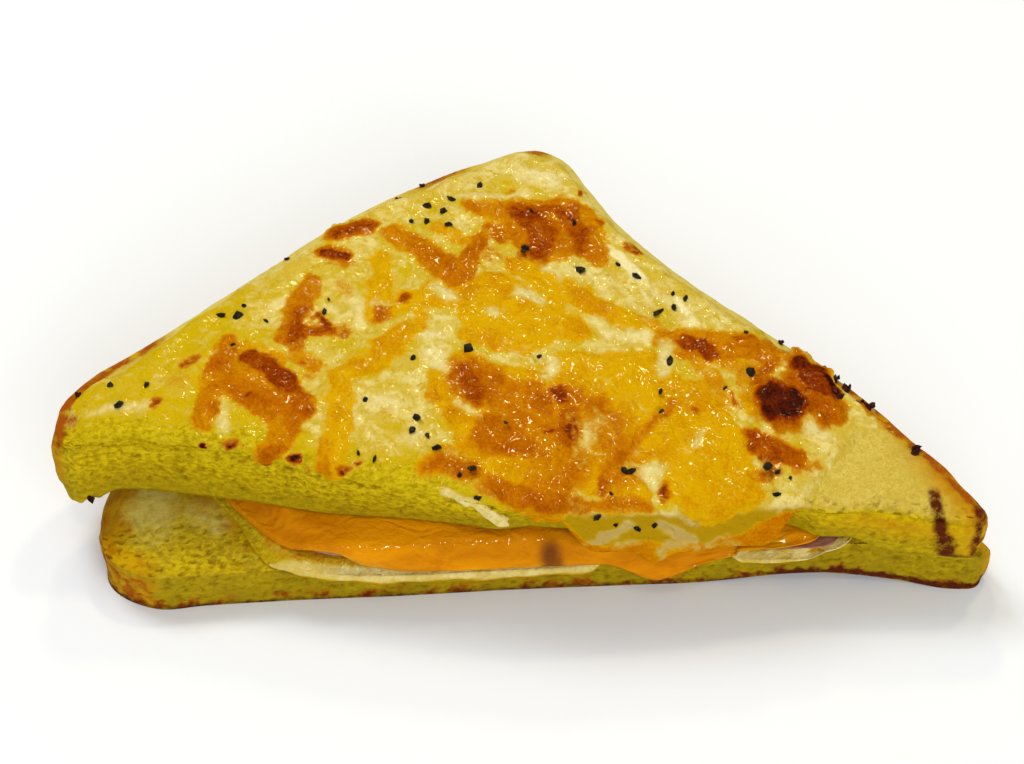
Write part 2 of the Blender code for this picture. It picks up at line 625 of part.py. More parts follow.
def new_collection(name):
    collection = bpy.data.collections.new(name)
    bpy.context.scene.collection.children.link(collection)
    return collection


def main():
    for obj in list(bpy.data.objects):
        bpy.data.objects.remove(obj)
    sandwich = new_collection("croque_monsieur")
    helpers = new_collection("helpers")
    bread_bottom(sandwich)
    sauce_lower(sandwich)
    ham(sandwich)
    cheddar_slice(sandwich)
    bread_top(sandwich)
    sauce_top(sandwich, helpers)
    for name in CHEDDAR_PATCHES:
        cheddar_patch(name, sandwich)


main()
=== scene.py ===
"""Looks of a croque monsieur: half of a square toasted sandwich under baked white sauce and melted cheddar.

Every class works in millimetres: +X runs along the diagonal cut, +Y points from the cut to the whole corner
of the bread, +Z is up. Meshes are moved by -CENTRE and scaled to metres as they are finished, which puts them
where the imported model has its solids. The surfaces are the same functions that shape those solids, read on a
finer mesh, with pores, folds, shreds and crumbs added.
"""

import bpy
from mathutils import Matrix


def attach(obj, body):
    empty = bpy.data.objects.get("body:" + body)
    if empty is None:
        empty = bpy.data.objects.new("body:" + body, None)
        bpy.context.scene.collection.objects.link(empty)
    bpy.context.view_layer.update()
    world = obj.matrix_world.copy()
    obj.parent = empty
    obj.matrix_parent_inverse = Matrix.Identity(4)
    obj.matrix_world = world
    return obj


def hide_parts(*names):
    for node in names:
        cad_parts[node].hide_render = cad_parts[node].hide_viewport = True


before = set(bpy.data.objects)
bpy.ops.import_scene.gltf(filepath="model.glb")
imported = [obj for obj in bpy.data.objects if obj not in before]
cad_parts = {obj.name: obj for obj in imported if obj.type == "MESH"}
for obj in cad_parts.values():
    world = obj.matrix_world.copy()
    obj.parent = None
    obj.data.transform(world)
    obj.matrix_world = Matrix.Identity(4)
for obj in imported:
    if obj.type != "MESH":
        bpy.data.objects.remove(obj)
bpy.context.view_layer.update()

import copy
import logging
import math
import random
from collections.abc import Callable, Iterable, Sequence
from dataclasses import dataclass, field
from enum import Enum

import bmesh
import bpy
import numpy as np
from mathutils import Euler, Matrix, Vector, noise

LOG = logging.getLogger("croque_monsieur")
Array = np.ndarray
Height = Callable[[Array, Array], Array]
Colour = tuple[float, float, float]
Stroke = tuple[tuple[float, float, float], ...]

MM = 0.001
CENTRE = (1.95, 1.2)
FAR_OUTSIDE = -99.0


class Bake(Enum):
    """How far the oven has browned cheese outside its scorched places, from 0, just melted, to 1, charred."""

    MELTED = 0.06
    STAINED = 0.2
    GOLDEN = 0.3
    BROWNED = 0.5
    BURNT = 0.47


def eased(t: Array) -> Array:
    """Rises smoothly from 0 at 0 to 1 at 1.

    Args:
        t: Any numbers.

    Returns:
        A number from 0 to 1 for each.
    """
    t = np.clip(t, 0.0, 1.0)
    return t * t * (3 - 2 * t)


def hump(x: Array, middle: float | Array, reach: float) -> Array:
    """Falls smoothly from 1 at the middle to 0 at the reach on both sides.

    Args:
        x: Places.
        middle: Where the hump is 1.
        reach: How far it extends.

    Returns:
        A number from 0 to 1 for each place.
    """
    return eased(1 - np.abs(x - middle) / reach)


def mottle(points: Array, size: float, octaves: int = 3, seed: int = 0) -> Array:
    """Fractal noise.

    Args:
        points: One place to a row.
        size: How far apart its largest features are, in the unit of the points.
        octaves: How many times finer features are added.
        seed: Which of many patterns.

    Returns:
        About -1 to 1 for each point.
    """
    shifted = points / size + (31.7 * seed, 17.3 * seed, 5.1 * seed)
    return np.array([noise.fractal(spot, 1.0, 2.0, octaves) for spot in shifted.tolist()])


def cells(points: Array, size: float, seed: int = 0) -> Array:
    """Distance from each point to the nearest of some scattered seeds, as a share of the size.

    Args:
        points: One place to a row.
        size: The usual distance between the seeds.
        seed: Which of many patterns.

    Returns:
        About 0 at a seed and 1 far from all.
    """
    shifted = points / size + (13.1 * seed, 7.7 * seed, 3.3 * seed)
    return np.array([noise.voronoi(spot)[0][0] for spot in shifted.tolist()])


def strongest(*shares: Array) -> Array:
    """The greatest of some numbers at each point, held between 0 and 1."""
    return np.clip(np.maximum.reduce(shares), 0, 1)


def plan_points(x: Array, y: Array) -> Array:
    """The points of the plan as rows of x, y and 0."""
    return np.column_stack([x, y, np.zeros(len(x))])


class Outline:
    """A smooth line in plan through a few corners, walked from left to right."""

    STEPS = 24
    SAMPLES = 240
    CHUNK = 3000

    def __init__(self, corners: Sequence[tuple[float, float]]) -> None:
        """Runs a centripetal Catmull-Rom line through the corners.

        Args:
            corners: The points that it passes.
        """
        p = np.array(corners, float)
        ends = np.vstack([2 * p[0] - p[1], p, 2 * p[-1] - p[-2]])
        pieces = []
        for p0, p1, p2, p3 in zip(ends, ends[1:], ends[2:], ends[3:]):
            t0 = 0.0
            t1 = t0 + np.linalg.norm(p1 - p0) ** 0.5
            t2 = t1 + np.linalg.norm(p2 - p1) ** 0.5
            t3 = t2 + np.linalg.norm(p3 - p2) ** 0.5
            t = np.linspace(t1, t2, self.STEPS, endpoint=False)[:, None]
            a1 = (t1 - t) / (t1 - t0) * p0 + (t - t0) / (t1 - t0) * p1
            a2 = (t2 - t) / (t2 - t1) * p1 + (t - t1) / (t2 - t1) * p2
            a3 = (t3 - t) / (t3 - t2) * p2 + (t - t2) / (t3 - t2) * p3
            b1 = (t2 - t) / (t2 - t0) * a1 + (t - t0) / (t2 - t0) * a2
            b2 = (t3 - t) / (t3 - t1) * a2 + (t - t1) / (t3 - t1) * a3
            pieces.append((t2 - t) / (t2 - t1) * b1 + (t - t1) / (t2 - t1) * b2)
        dense = np.vstack(pieces + [p[-1:]])
        run = np.concatenate([[0.0], np.cumsum(np.linalg.norm(np.diff(dense, axis=0), axis=1))])
        even = np.linspace(0.0, run[-1], self.SAMPLES + 1)
        self.points = np.column_stack([np.interp(even, run, dense[:, 0]), np.interp(even, run, dense[:, 1])])

    def along(self, fraction: Array) -> Array:
        """Points of the line at fractions of its length.

        Args:
            fraction: From 0 at its start to 1 at its end.

        Returns:
            One point to a row.
        """
        at = np.clip(fraction, 0.0, 1.0) * (len(self.points) - 1)
        steps = np.arange(len(self.points))
        return np.column_stack([np.interp(at, steps, values) for values in self.points.T])

    def moved_back(self, distance: Array) -> "Outline":
        """The same line with each of its points moved along Y by its own distance."""
        line = copy.copy(self)
        line.points = self.points + np.column_stack([np.zeros(len(distance)), distance])
        return line

    def y_at(self, x: Array) -> Array:
        """The y of a line that runs along X, at each x."""
        return np.interp(x, self.points[:, 0], self.points[:, 1])

    def inside(self, x: Array, y: Array) -> Array:
        """How far points lie on the right-hand side of the line.

        Args:
            x: Their x.
            y: Their y.

        Returns:
            The distance of each, below 0 on the left-hand side.
        """
        start, run = self.points[:-1], np.diff(self.points, axis=0)
        square = (run**2).sum(axis=1)
        spots = np.column_stack([x, y])
        found = []
        for part in np.array_split(spots, len(spots) // self.CHUNK + 1):
            away = part[:, None] - start[None]
            t = np.clip((away * run).sum(axis=2) / square, 0, 1)
            off = away - t[..., None] * run
            far = np.hypot(off[..., 0], off[..., 1])
            near = far.argmin(axis=1)
            rows = np.arange(len(part))
            across = run[near, 0] * off[rows, near, 1] - run[near, 1] * off[rows, near, 0]
            found.append(-np.sign(across) * far[rows, near])
        return np.concatenate(found)

    def distance(self, x: Array, y: Array) -> Array:
        """How far points are from the line, on either side."""
        return np.abs(self.inside(x, y))


def stroke_field(strokes: Iterable[Stroke], x: Array, y: Array) -> Array:
    """How far points are inside the nearest of some strokes.

    Args:
        strokes: Each a run of (x, y, half width).
        x: The points' x.
        y: The points' y.

    Returns:
        The distance of each point, below 0 outside them all.
    """
    best = np.full(len(x), FAR_OUTSIDE)
    for stroke in strokes:
        for (x0, y0, r0), (x1, y1, r1) in zip(stroke, stroke[1:]):
            run = max((x1 - x0) ** 2 + (y1 - y0) ** 2, 1e-9)
            t = np.clip(((x - x0) * (x1 - x0) + (y - y0) * (y1 - y0)) / run, 0, 1)
            off = np.hypot(x - x0 - t * (x1 - x0), y - y0 - t * (y1 - y0))
            best = np.maximum(best, r0 + (r1 - r0) * t - off)
    return best


def spots(places: Iterable[tuple[float, float, float, float]], x: Array, y: Array) -> Array:
    """The strongest of some round spots at each point.

    Args:
        places: Each spot as (x, y, radius, strength at its middle).
        x: The points' x.
        y: The points' y.

    Returns:
        From 0, outside them all, up to the strength.
    """
    best = np.zeros(len(x))
    for sx, sy, radius, strength in places:
        best = np.maximum(best, strength * eased(1.25 * (1 - np.hypot(x - sx, y - sy) / radius)))
    return best


@dataclass
class Shape:
    """The surfaces of the sandwich, as functions of the plan."""

    top_cut: Outline = field(default_factory=lambda: Outline((
        (-76.5, -24), (-74, -26.6), (-65, -26), (-52, -28), (-43, -29.8), (-30, -33.8), (-10, -37.7),
        (5, -40), (20, -40.2), (31, -39.4), (47, -37), (64, -36.8), (73.5, -37.6), (77.5, -37), (78.6, -35))))
    top_crust: Outline = field(default_factory=lambda: Outline((
        (-76.5, -24), (-75.4, -17), (-71, -11.6), (-61, -3.7), (-46, 9.5), (-31, 23.2), (-16, 34), (-5, 40),
        (3.5, 43.2), (9, 40.4), (14, 31.6), (19, 22.8), (29.5, 10.8), (44, -1.3), (59, -13.3), (68.5, -23),
        (75, -30.5), (78.6, -35))))
    base_cut: Outline = field(default_factory=lambda: Outline((
        (-69.6, -30), (-68.6, -35.6), (-65.6, -38.7), (-59.5, -41), (-52, -40.2), (-36, -39), (-19, -38.1),
        (-2, -36.9), (15, -36), (32, -35.3), (49, -35.1), (66, -35.5), (74.6, -36.6), (79, -36.2),
        (80.4, -33.6))))
    base_crust: Outline = field(default_factory=lambda: Outline((
        (-69.6, -30), (-69, -22), (-65, -15.5), (-51, -3.5), (-36, 9), (-20, 22), (-8, 31.5), (-1, 36),
        (5, 34.6), (10, 28), (16, 20), (29, 8), (44, -4.5), (59, -16.5), (71, -25.5), (78, -30.5),
        (80.4, -33.6))))
    left_end: tuple[float, float] = (-77, -25)
    right_end: tuple[float, float] = (79, -35)
    far_corner: tuple[float, float] = (4, 44)
    # Six heights each, in the order that sagging takes them.
    crown: tuple[float, ...] = (27.4, 19.4, 29.4, 4.0, 1.8, 4.5)
    under_top: tuple[float, ...] = (13.0, 9.6, 13.0, 3.6, 1.5, 2.2)
    base_height: float = 8.6
    skin: float = 1.5
    edge_radius: float = 2.5
    gap: float = 0.3
    bedding: float = 0.15
    layer_shares: tuple[float, float, float] = (0.29, 0.27, 0.44)
    drip_x: float = 24.0
    # The middle and the radius of the bare end.
    bare_end: tuple[float, float, float] = (78, -46, 29)

    def sagging(self, x: Array, y: Array, corners: Sequence[float]) -> Array:
        """The height of a surface that is hung from the three corners.

        Args:
            x: Places.
            y: Places.
            corners: Heights at the left end, right end and far corner, then how far the surface stands above
                the straight line halfway along the cut, the left crust and the right crust.

        Returns:
            The height at each place.
        """
        left, right, far, along_cut, along_left, along_right = corners
        corner = np.array(self.far_corner, float)
        sides = np.column_stack([np.array(self.left_end) - corner, np.array(self.right_end) - corner])
        to_left, to_right = np.linalg.inv(sides) @ np.stack([x - corner[0], y - corner[1]])
        to_far = 1 - to_left - to_right
        swell = along_cut * to_left * to_right
        swell = swell + along_left * to_left * to_far + along_right * to_right * to_far
        return to_left * left + to_right * right + to_far * far + 4 * swell

    def lumps(self, x: Array, y: Array) -> Array:
        """Gentle unevenness of the baked sauce."""
        crossed = np.sin(0.43 * x + 0.9) * np.sin(0.38 * y + 0.4)
        return 0.3 * (crossed + 0.6 * np.sin(0.71 * x - 0.5 * y + 1.7))

    def beyond_bare(self, x: Array, y: Array) -> Array:
        """How far a point is from the bare right-hand end of the upper slice, below 0 on it."""
        return np.hypot(x - self.bare_end[0], y - self.bare_end[1]) - self.bare_end[2]

    def flow(self, x: Array) -> Array:
        """1 along the stretch of the cut where sauce runs down, 0 elsewhere."""
        return eased((x + 4) / 8) * eased((52 - x) / 6)

    def kept_back(self, x: Array) -> Array:
        """How far the crumb's cut stands back to leave room for the sauce that runs down it."""
        return (self.skin + 0.25) * self.flow(x)

    def arch(self, x: Array, y: Array) -> Array:
        """How far the base curls up off the table along its cut."""
        return 2.6 * hump(x, 52, 24) * eased(1 - (y - self.base_cut.y_at(x)) / 26)

    def base_top(self, x: Array, y: Array) -> Array:
        """The upper face of the base slice, pressed thinner where the filling is cut."""
        behind = np.maximum(y - self.base_cut.y_at(x), 0)
        pressed = 2.0 * eased((x + 38) / 26) * eased((62 - x) / 16) * eased(1 - behind / 24)
        return self.base_height + 0.9 * eased(behind / 24) - pressed + self.arch(x, y)

    def roll(self, x: Array, y: Array) -> Array:
        """How far the upper face of the upper slice turns down at its crust and at its cut."""
        from_crust = self.top_crust.inside(x, y)
        from_cut = y - self.top_cut.y_at(x) - self.kept_back(x)
        return 0.8 * (1 - eased(from_crust / 4.5)) ** 2 + 0.5 * (1 - eased(from_cut / 1.4)) ** 2

    def crumb_top(self, x: Array, y: Array) -> Array:
        """The upper face of the upper slice."""
        covered = self.skin * eased((self.beyond_bare(x, y) + 9) / 8)
        return self.sagging(x, y, self.crown) - covered - self.roll(x, y)

    def crumb_under(self, x: Array, y: Array) -> Array:
        """The lower face of the upper slice, pinched down to the base beyond the filling."""
        from_crust = self.top_crust.inside(x, y)
        pinch = 0.8 * hump(x, 62, 14) * eased(1 - (y - self.base_cut.y_at(x)) / 20)
        least = self.base_top(x, y) + 0.5 + 2.2 * eased((62 - x) / 6)
        hung = np.maximum(self.sagging(x, y, self.under_top) - pinch, least)
        return hung + 1.2 * (1 - eased(from_crust / 4)) ** 2

    def filling(self, x: Array, y: Array) -> tuple[tuple[Array, Array], ...]:
        """The room for the layers between the slices.

        Args:
            x: Places.
            y: Places.

        Returns:
            The lower and upper heights of the sauce, the ham and the cheddar in turn.
        """
        inner = np.maximum(y, self.base_cut.y_at(x))
        floor = self.base_top(x, inner) + self.gap + self.bedding
        over = self.crumb_under(x, np.maximum(y, self.top_cut.y_at(x)))
        room = np.maximum(over - floor - 3 * self.gap, 0.9)
        sauce = floor + self.layer_shares[0] * room
        ham = sauce + self.gap + self.layer_shares[1] * room
        cheddar = ham + self.gap + self.layer_shares[2] * room
        return (floor, sauce), (sauce + self.gap, ham), (ham + self.gap, cheddar)

    def overhang(self, x: Array, y: Array) -> Array:
        """How far a point stands out past the cut of the base slice."""
        return self.base_cut.y_at(x) - y

    def draped(self, x: Array, y: Array, raised: Array) -> Array:
        """Points of the topping. A y beyond the cut edge turns down the front.

        Args:
            x: Places.
            y: Places.
            raised: Height over the crown.

        Returns:
            One point to a row.
        """
        edge = self.top_cut.y_at(x) + self.edge_radius
        past = edge - y
        turn = np.clip(past / self.edge_radius, 0, math.pi / 2)
        radius = self.edge_radius + raised
        inner = np.maximum(y, edge)
        top = self.sagging(x, inner, self.crown) + self.lumps(x, inner)
        over = past > 0
        out = np.where(over, edge - radius * np.sin(turn), y)
        fall = np.maximum(past - self.edge_radius * math.pi / 2, 0)
        height = np.where(over, top - self.edge_radius + radius * np.cos(turn) - fall, top + raised)
        return np.column_stack([x, out, height])


SHAPE = Shape()


class Builder:
    """Makes the closed meshes that every piece starts from, and the objects that they end in."""

    @staticmethod
    def block(columns: int, rows: int, layers: int) -> bmesh.types.BMesh:
        """The skin of a unit block whose left and right sides are pinched to a line.

        Args:
            columns: Steps along X.
            rows: Steps along Y.
            layers: Steps up the walls.

        Returns:
            A bmesh of which x and y run from -0.5 to 0.5 and z from 0 to 1.
        """
        bm = bmesh.new()
        bmesh.ops.create_grid(bm, x_segments=columns, y_segments=rows, size=0.5)
        floor = set(bm.verts)
        Builder.thicken(bm)
        walls = [edge for edge in bm.edges if len(floor.intersection(edge.verts)) == 1]
        bmesh.ops.subdivide_edges(bm, edges=walls, cuts=layers - 1, use_grid_fill=True)
        pinched = [vertex for vertex in bm.verts if abs(vertex.co.x) > 0.4999]
        bmesh.ops.scale(bm, vec=(1, 0, 1), verts=pinched)
        bmesh.ops.remove_doubles(bm, verts=pinched, dist=1e-6)
        bmesh.ops.recalc_face_normals(bm, faces=bm.faces)
        return bm

    @staticmethod
    def thicken(bm: bmesh.types.BMesh) -> None:
        """Turns a flat sheet into a closed slab that is one unit high."""
        made = bmesh.ops.extrude_face_region(bm, geom=bm.faces[:], use_keep_orig=True)
        upper = [item for item in made["geom"] if isinstance(item, bmesh.types.BMVert)]
        bmesh.ops.translate(bm, vec=(0, 0, 1), verts=upper)

    @staticmethod
    def layer(x_range: tuple[float, float], y_range: tuple[float, float], cell: float, inside: Height,
              least: float) -> bmesh.types.BMesh:
        """A flat double layer over the part of a range where a field is above a limit.

        Args:
            x_range: The lowest and highest x.
            y_range: The lowest and highest y, counted from the cut edge.
            cell: The size of its cells.
            inside: The field.
            least: The limit.

        Returns:
            A closed bmesh with its lower face at z 0 and its upper face at z 1.
        """
        columns = math.ceil((x_range[1] - x_range[0]) / cell)
        rows = math.ceil((y_range[1] - y_range[0]) / cell)
        bm = bmesh.new()
        bmesh.ops.create_grid(bm, x_segments=columns, y_segments=rows, size=0.5)
        at = np.array([vertex.co for vertex in bm.verts])
        x = x_range[0] + (at[:, 0] + 0.5) * cell * columns
        y = y_range[0] + (at[:, 1] + 0.5) * cell * rows + SHAPE.top_cut.y_at(x)
        for vertex, spot in zip(bm.verts, np.column_stack([x, y, inside(x, y) - least])):
            vertex.co = spot
        bmesh.ops.triangulate(bm, faces=bm.faces)
        everything = bm.verts[:] + bm.edges[:] + bm.faces[:]
        bmesh.ops.bisect_plane(bm, geom=everything, plane_co=(0, 0, 0), plane_no=(0, 0, 1), clear_inner=True)
        bmesh.ops.scale(bm, vec=(1, 1, 0), verts=bm.verts)
        bmesh.ops.remove_doubles(bm, verts=bm.verts, dist=cell * 0.2)
        Builder.thicken(bm)
        bmesh.ops.recalc_face_normals(bm, faces=bm.faces)
        return bm

    @staticmethod
    def places(bm: bmesh.types.BMesh) -> Array:
        """The bmesh's vertices as rows of x, y and z."""
        return np.array([vertex.co for vertex in bm.verts])

    @staticmethod
    def finish(bm: bmesh.types.BMesh, name: str, points: Array, masks: dict[str, Array],
               material: bpy.types.Material) -> bpy.types.Object:
        """Turns a bmesh into a dressed object in metres.

        Args:
            bm: The bmesh, which is freed.
            name: The piece's name.
            points: Where each of its vertices goes, in millimetres.
            masks: Numbers for each vertex, by the name of the attribute that the material reads.
            material: Its finish.

        Returns:
            The object.
        """
        mesh = bpy.data.meshes.new(name)
        bm.to_mesh(mesh)
        bm.free()
        moved = (points - (*CENTRE, 0)) * MM
        mesh.vertices.foreach_set("co", moved.astype(np.float32).ravel())
        for mask, values in masks.items():
            attribute = mesh.attributes.new(mask, "FLOAT", "POINT")
            attribute.data.foreach_set("value", np.asarray(values, np.float32))
        mesh.shade_smooth()
        mesh.update()
        mesh.materials.append(material)
        obj = bpy.data.objects.new(name, mesh)
        bpy.context.scene.collection.objects.link(obj)
        return obj

    @staticmethod
    def normals(bm: bmesh.types.BMesh, points: Array) -> Array:
        """Which way each vertex faces once it is in place.

        Args:
            bm: The bmesh.
            points: Where each of its vertices goes.

        Returns:
            A unit vector to a row.
        """
        for vertex, point in zip(bm.verts, points):
            vertex.co = point
        bm.normal_update()
        return np.array([vertex.normal for vertex in bm.verts])


def srgb(red: int, green: int, blue: int) -> Colour:
    """A colour as it shows on a screen, from 0 to 255, as the linear colour that a shader takes."""
    shown = np.array((red, green, blue)) / 255
    return tuple(np.where(shown <= 0.04045, shown / 12.92, ((shown + 0.055) / 1.055) ** 2.4).tolist())


class Shader:
    """Short ways to make the nodes of one material."""

    def __init__(self, name: str) -> None:
        """Starts a material that holds only a Principled shader.

        Args:
            name: The material's name.
        """
        self.material = bpy.data.materials.new(name)
        self.material.use_nodes = True
        self.tree = self.material.node_tree
        self.surface = self.tree.nodes["Principled BSDF"]
        self.coordinates = self.tree.nodes.new("ShaderNodeTexCoord").outputs["Object"]

    def link(self, value: object, socket: bpy.types.NodeSocket) -> None:
        """Feeds a socket with another node's output, a number or a colour.

        Args:
            value: What it is fed.
            socket: The input.
        """
        if isinstance(value, bpy.types.NodeSocket):
            self.tree.links.new(value, socket)
        elif isinstance(value, tuple):
            socket.default_value = (*value, 1)[: len(socket.default_value)]
        else:
            socket.default_value = value

    def mask(self, name: str) -> bpy.types.NodeSocket:
        """A number that the mesh holds for each vertex."""
        node = self.tree.nodes.new("ShaderNodeAttribute")
        node.attribute_name = name
        return node.outputs["Fac"]

    def uneven_mask(self, name: str, uneven: bpy.types.NodeSocket) -> bpy.types.NodeSocket:
        """A mask with broken edges.

        Args:
            name: The mask.
            uneven: The share by which it is raised or lowered.

        Returns:
            The broken mask.
        """
        mask = self.mask(name)
        return self.math("MULTIPLY_ADD", uneven, mask, mask)

    def noise(self, size: float, detail: float = 3, rough: float = 0.55, stretch: Colour = (1, 1, 1),
              warp: float = 0.0) -> bpy.types.NodeSocket:
        """Noise on the object's own coordinates.

        Args:
            size: The size of its features in millimetres.
            detail: How many finer layers it has.
            rough: How strong those are.
            stretch: How many times more often it changes along each axis.
            warp: How much it is distorted.

        Returns:
            A number from 0 to 1.
        """
        mapping = self.tree.nodes.new("ShaderNodeMapping")
        self.link(self.coordinates, mapping.inputs["Vector"])
        mapping.inputs["Scale"].default_value = stretch
        node = self.tree.nodes.new("ShaderNodeTexNoise")
        self.link(mapping.outputs["Vector"], node.inputs["Vector"])
        node.inputs["Scale"].default_value = 1 / (size * MM)
        node.inputs["Detail"].default_value = detail
        node.inputs["Roughness"].default_value = rough
        node.inputs["Distortion"].default_value = warp
        return node.outputs["Fac"]

    def math(self, operation: str, a: object, b: object = 0.0, c: object = 0.0) -> bpy.types.NodeSocket:
        """One step of arithmetic, held between 0 and 1.

        Args:
            operation: The name of the operation.
            a: Its first number.
            b: Its second.
            c: Its third.

        Returns:
            The outcome.
        """
        node = self.tree.nodes.new("ShaderNodeMath")
        node.operation = operation
        node.use_clamp = True
        for value, socket in zip((a, b, c), node.inputs):
            self.link(value, socket)
        return node.outputs["Value"]

    def stretch(self, value: bpy.types.NodeSocket, low: float, high: float, to_low: float = 0.0,
                to_high: float = 1.0) -> bpy.types.NodeSocket:
        """Maps a range to another with soft ends.

        Args:
            value: The number.
            low: What becomes to_low.
            high: What becomes to_high.
            to_low: The least that comes out.
            to_high: The most that comes out.

        Returns:
            The mapped number.
        """
        node = self.tree.nodes.new("ShaderNodeMapRange")
        node.interpolation_type = "SMOOTHSTEP"
        for name, given in zip(("Value", "From Min", "From Max", "To Min", "To Max"),
                               (value, low, high, to_low, to_high)):
            self.link(given, node.inputs[name])
        return node.outputs["Result"]

    def blend(self, share: object, a: object, b: object, mode: str = "MIX") -> bpy.types.NodeSocket:
        """A mix of two colours.

        Args:
            share: How much of the second shows.
            a: The first colour.
            b: The second colour.
            mode: How they are mixed.

        Returns:
            The mixed colour.
        """
        node = self.tree.nodes.new("ShaderNodeMix")
        node.data_type = "RGBA"
        node.blend_type = mode
        self.link(share, node.inputs[0])
        self.link(a, node.inputs[6])
        self.link(b, node.inputs[7])
        return node.outputs[2]

    def ramp(self, value: bpy.types.NodeSocket,
             stops: Sequence[tuple[float, Colour]]) -> bpy.types.NodeSocket:
        """A colour that follows a number.

        Args:
            value: The number, from 0 to 1.
            stops: Where each colour lies.

        Returns:
            The colour.
        """
        node = self.tree.nodes.new("ShaderNodeValToRGB")
        elements = node.color_ramp.elements
        while len(elements) < len(stops):
            elements.new(1.0)
        for element, (at, colour) in zip(elements, stops):
            element.position = at
            element.color = (*colour, 1)
        self.link(value, node.inputs["Fac"])
        return node.outputs["Color"]

    def paint(self, colour: object) -> None:
        """Gives the surface its colour."""
        self.link(colour, self.surface.inputs["Base Color"])

    def ripple(self, height: bpy.types.NodeSocket, depth: float,
               under: bpy.types.NodeSocket | None = None) -> bpy.types.NodeSocket:
        """One layer of fine relief.

        Args:
            height: What raises it, from 0 to 1.
            depth: How much that is, in millimetres.
            under: The layer that it lies on.

        Returns:
            Which way the surface then faces.
        """
        node = self.tree.nodes.new("ShaderNodeBump")
        node.inputs["Distance"].default_value = depth * MM
        self.link(height, node.inputs["Height"])
        if under is not None:
            self.link(under, node.inputs["Normal"])
        return node.outputs["Normal"]

    def bump(self, *heights: tuple[bpy.types.NodeSocket, float]) -> None:
        """Fine relief, as a chain of heights with their depths in millimetres, the coarsest first."""
        facing = None
        for height, depth in heights:
            facing = self.ripple(height, depth, facing)
        self.link(facing, self.surface.inputs["Normal"])

    def film(self, weight: object, roughness: float, size: float, depth: float) -> None:
        """Lays a wet film over the surface, with ripples of its own.

        Args:
            weight: How strongly it reflects.
            roughness: How smooth it is.
            size: The size of its ripples in millimetres.
            depth: Their depth in millimetres.
        """
        facing = self.ripple(self.noise(size, 0.5, 0.5, warp=1.0), depth)
        self.link(facing, self.surface.inputs["Coat Normal"])
        self.link(weight, self.surface.inputs["Coat Weight"])
        self.surface.inputs["Coat Roughness"].default_value = roughness

    def sponge(self) -> bpy.types.NodeSocket:
        """The fine sponge of cut bread, low in its holes."""
        return self.noise(0.8, 5, 0.68, (0.7, 1, 1.2), 0.4)

    def body(self, roughness: object, subsurface: float = 0.0, depth: float = 1.0,
             tint: Colour = (1.0, 0.5, 0.2), specular: float = 0.5) -> None:
        """Sets how the surface takes light.

        Args:
            roughness: From 0, a mirror, to 1, chalk.
            subsurface: The share of light that goes in and comes out again.
            depth: How deep it goes, in millimetres.
            tint: How deep each of red, green and blue goes, as a share of the depth.
            specular: How strongly the bare surface reflects.
        """
        inputs = self.surface.inputs
        self.link(roughness, inputs["Roughness"])
        inputs["Subsurface Weight"].default_value = subsurface
        inputs["Subsurface Scale"].default_value = depth * MM
        inputs["Subsurface Radius"].default_value = tint
        inputs["Specular IOR Level"].default_value = specular


# The colours of cheddar, then of white sauce, from just melted to burnt.
TOASTING = (
    (0.0, srgb(216, 166, 3)), (0.14, srgb(206, 143, 1)), (0.3, srgb(192, 114, 1)), (0.46, srgb(172, 86, 1)),
    (0.6, srgb(138, 52, 3)), (0.74, srgb(96, 30, 7)), (0.86, srgb(58, 20, 12)), (1.0, srgb(30, 14, 12)),
)
SCORCHING = (
    (0.0, srgb(220, 180, 50)), (0.3, srgb(198, 138, 22)), (0.5, srgb(172, 96, 12)), (0.7, srgb(132, 52, 10)),
    (0.85, srgb(92, 28, 12)), (1.0, srgb(48, 18, 14)),
)

# Crumb that has soaked up butter and sauce, in its holes and beside them.
SOAKED = (srgb(174, 144, 5), srgb(208, 184, 20))


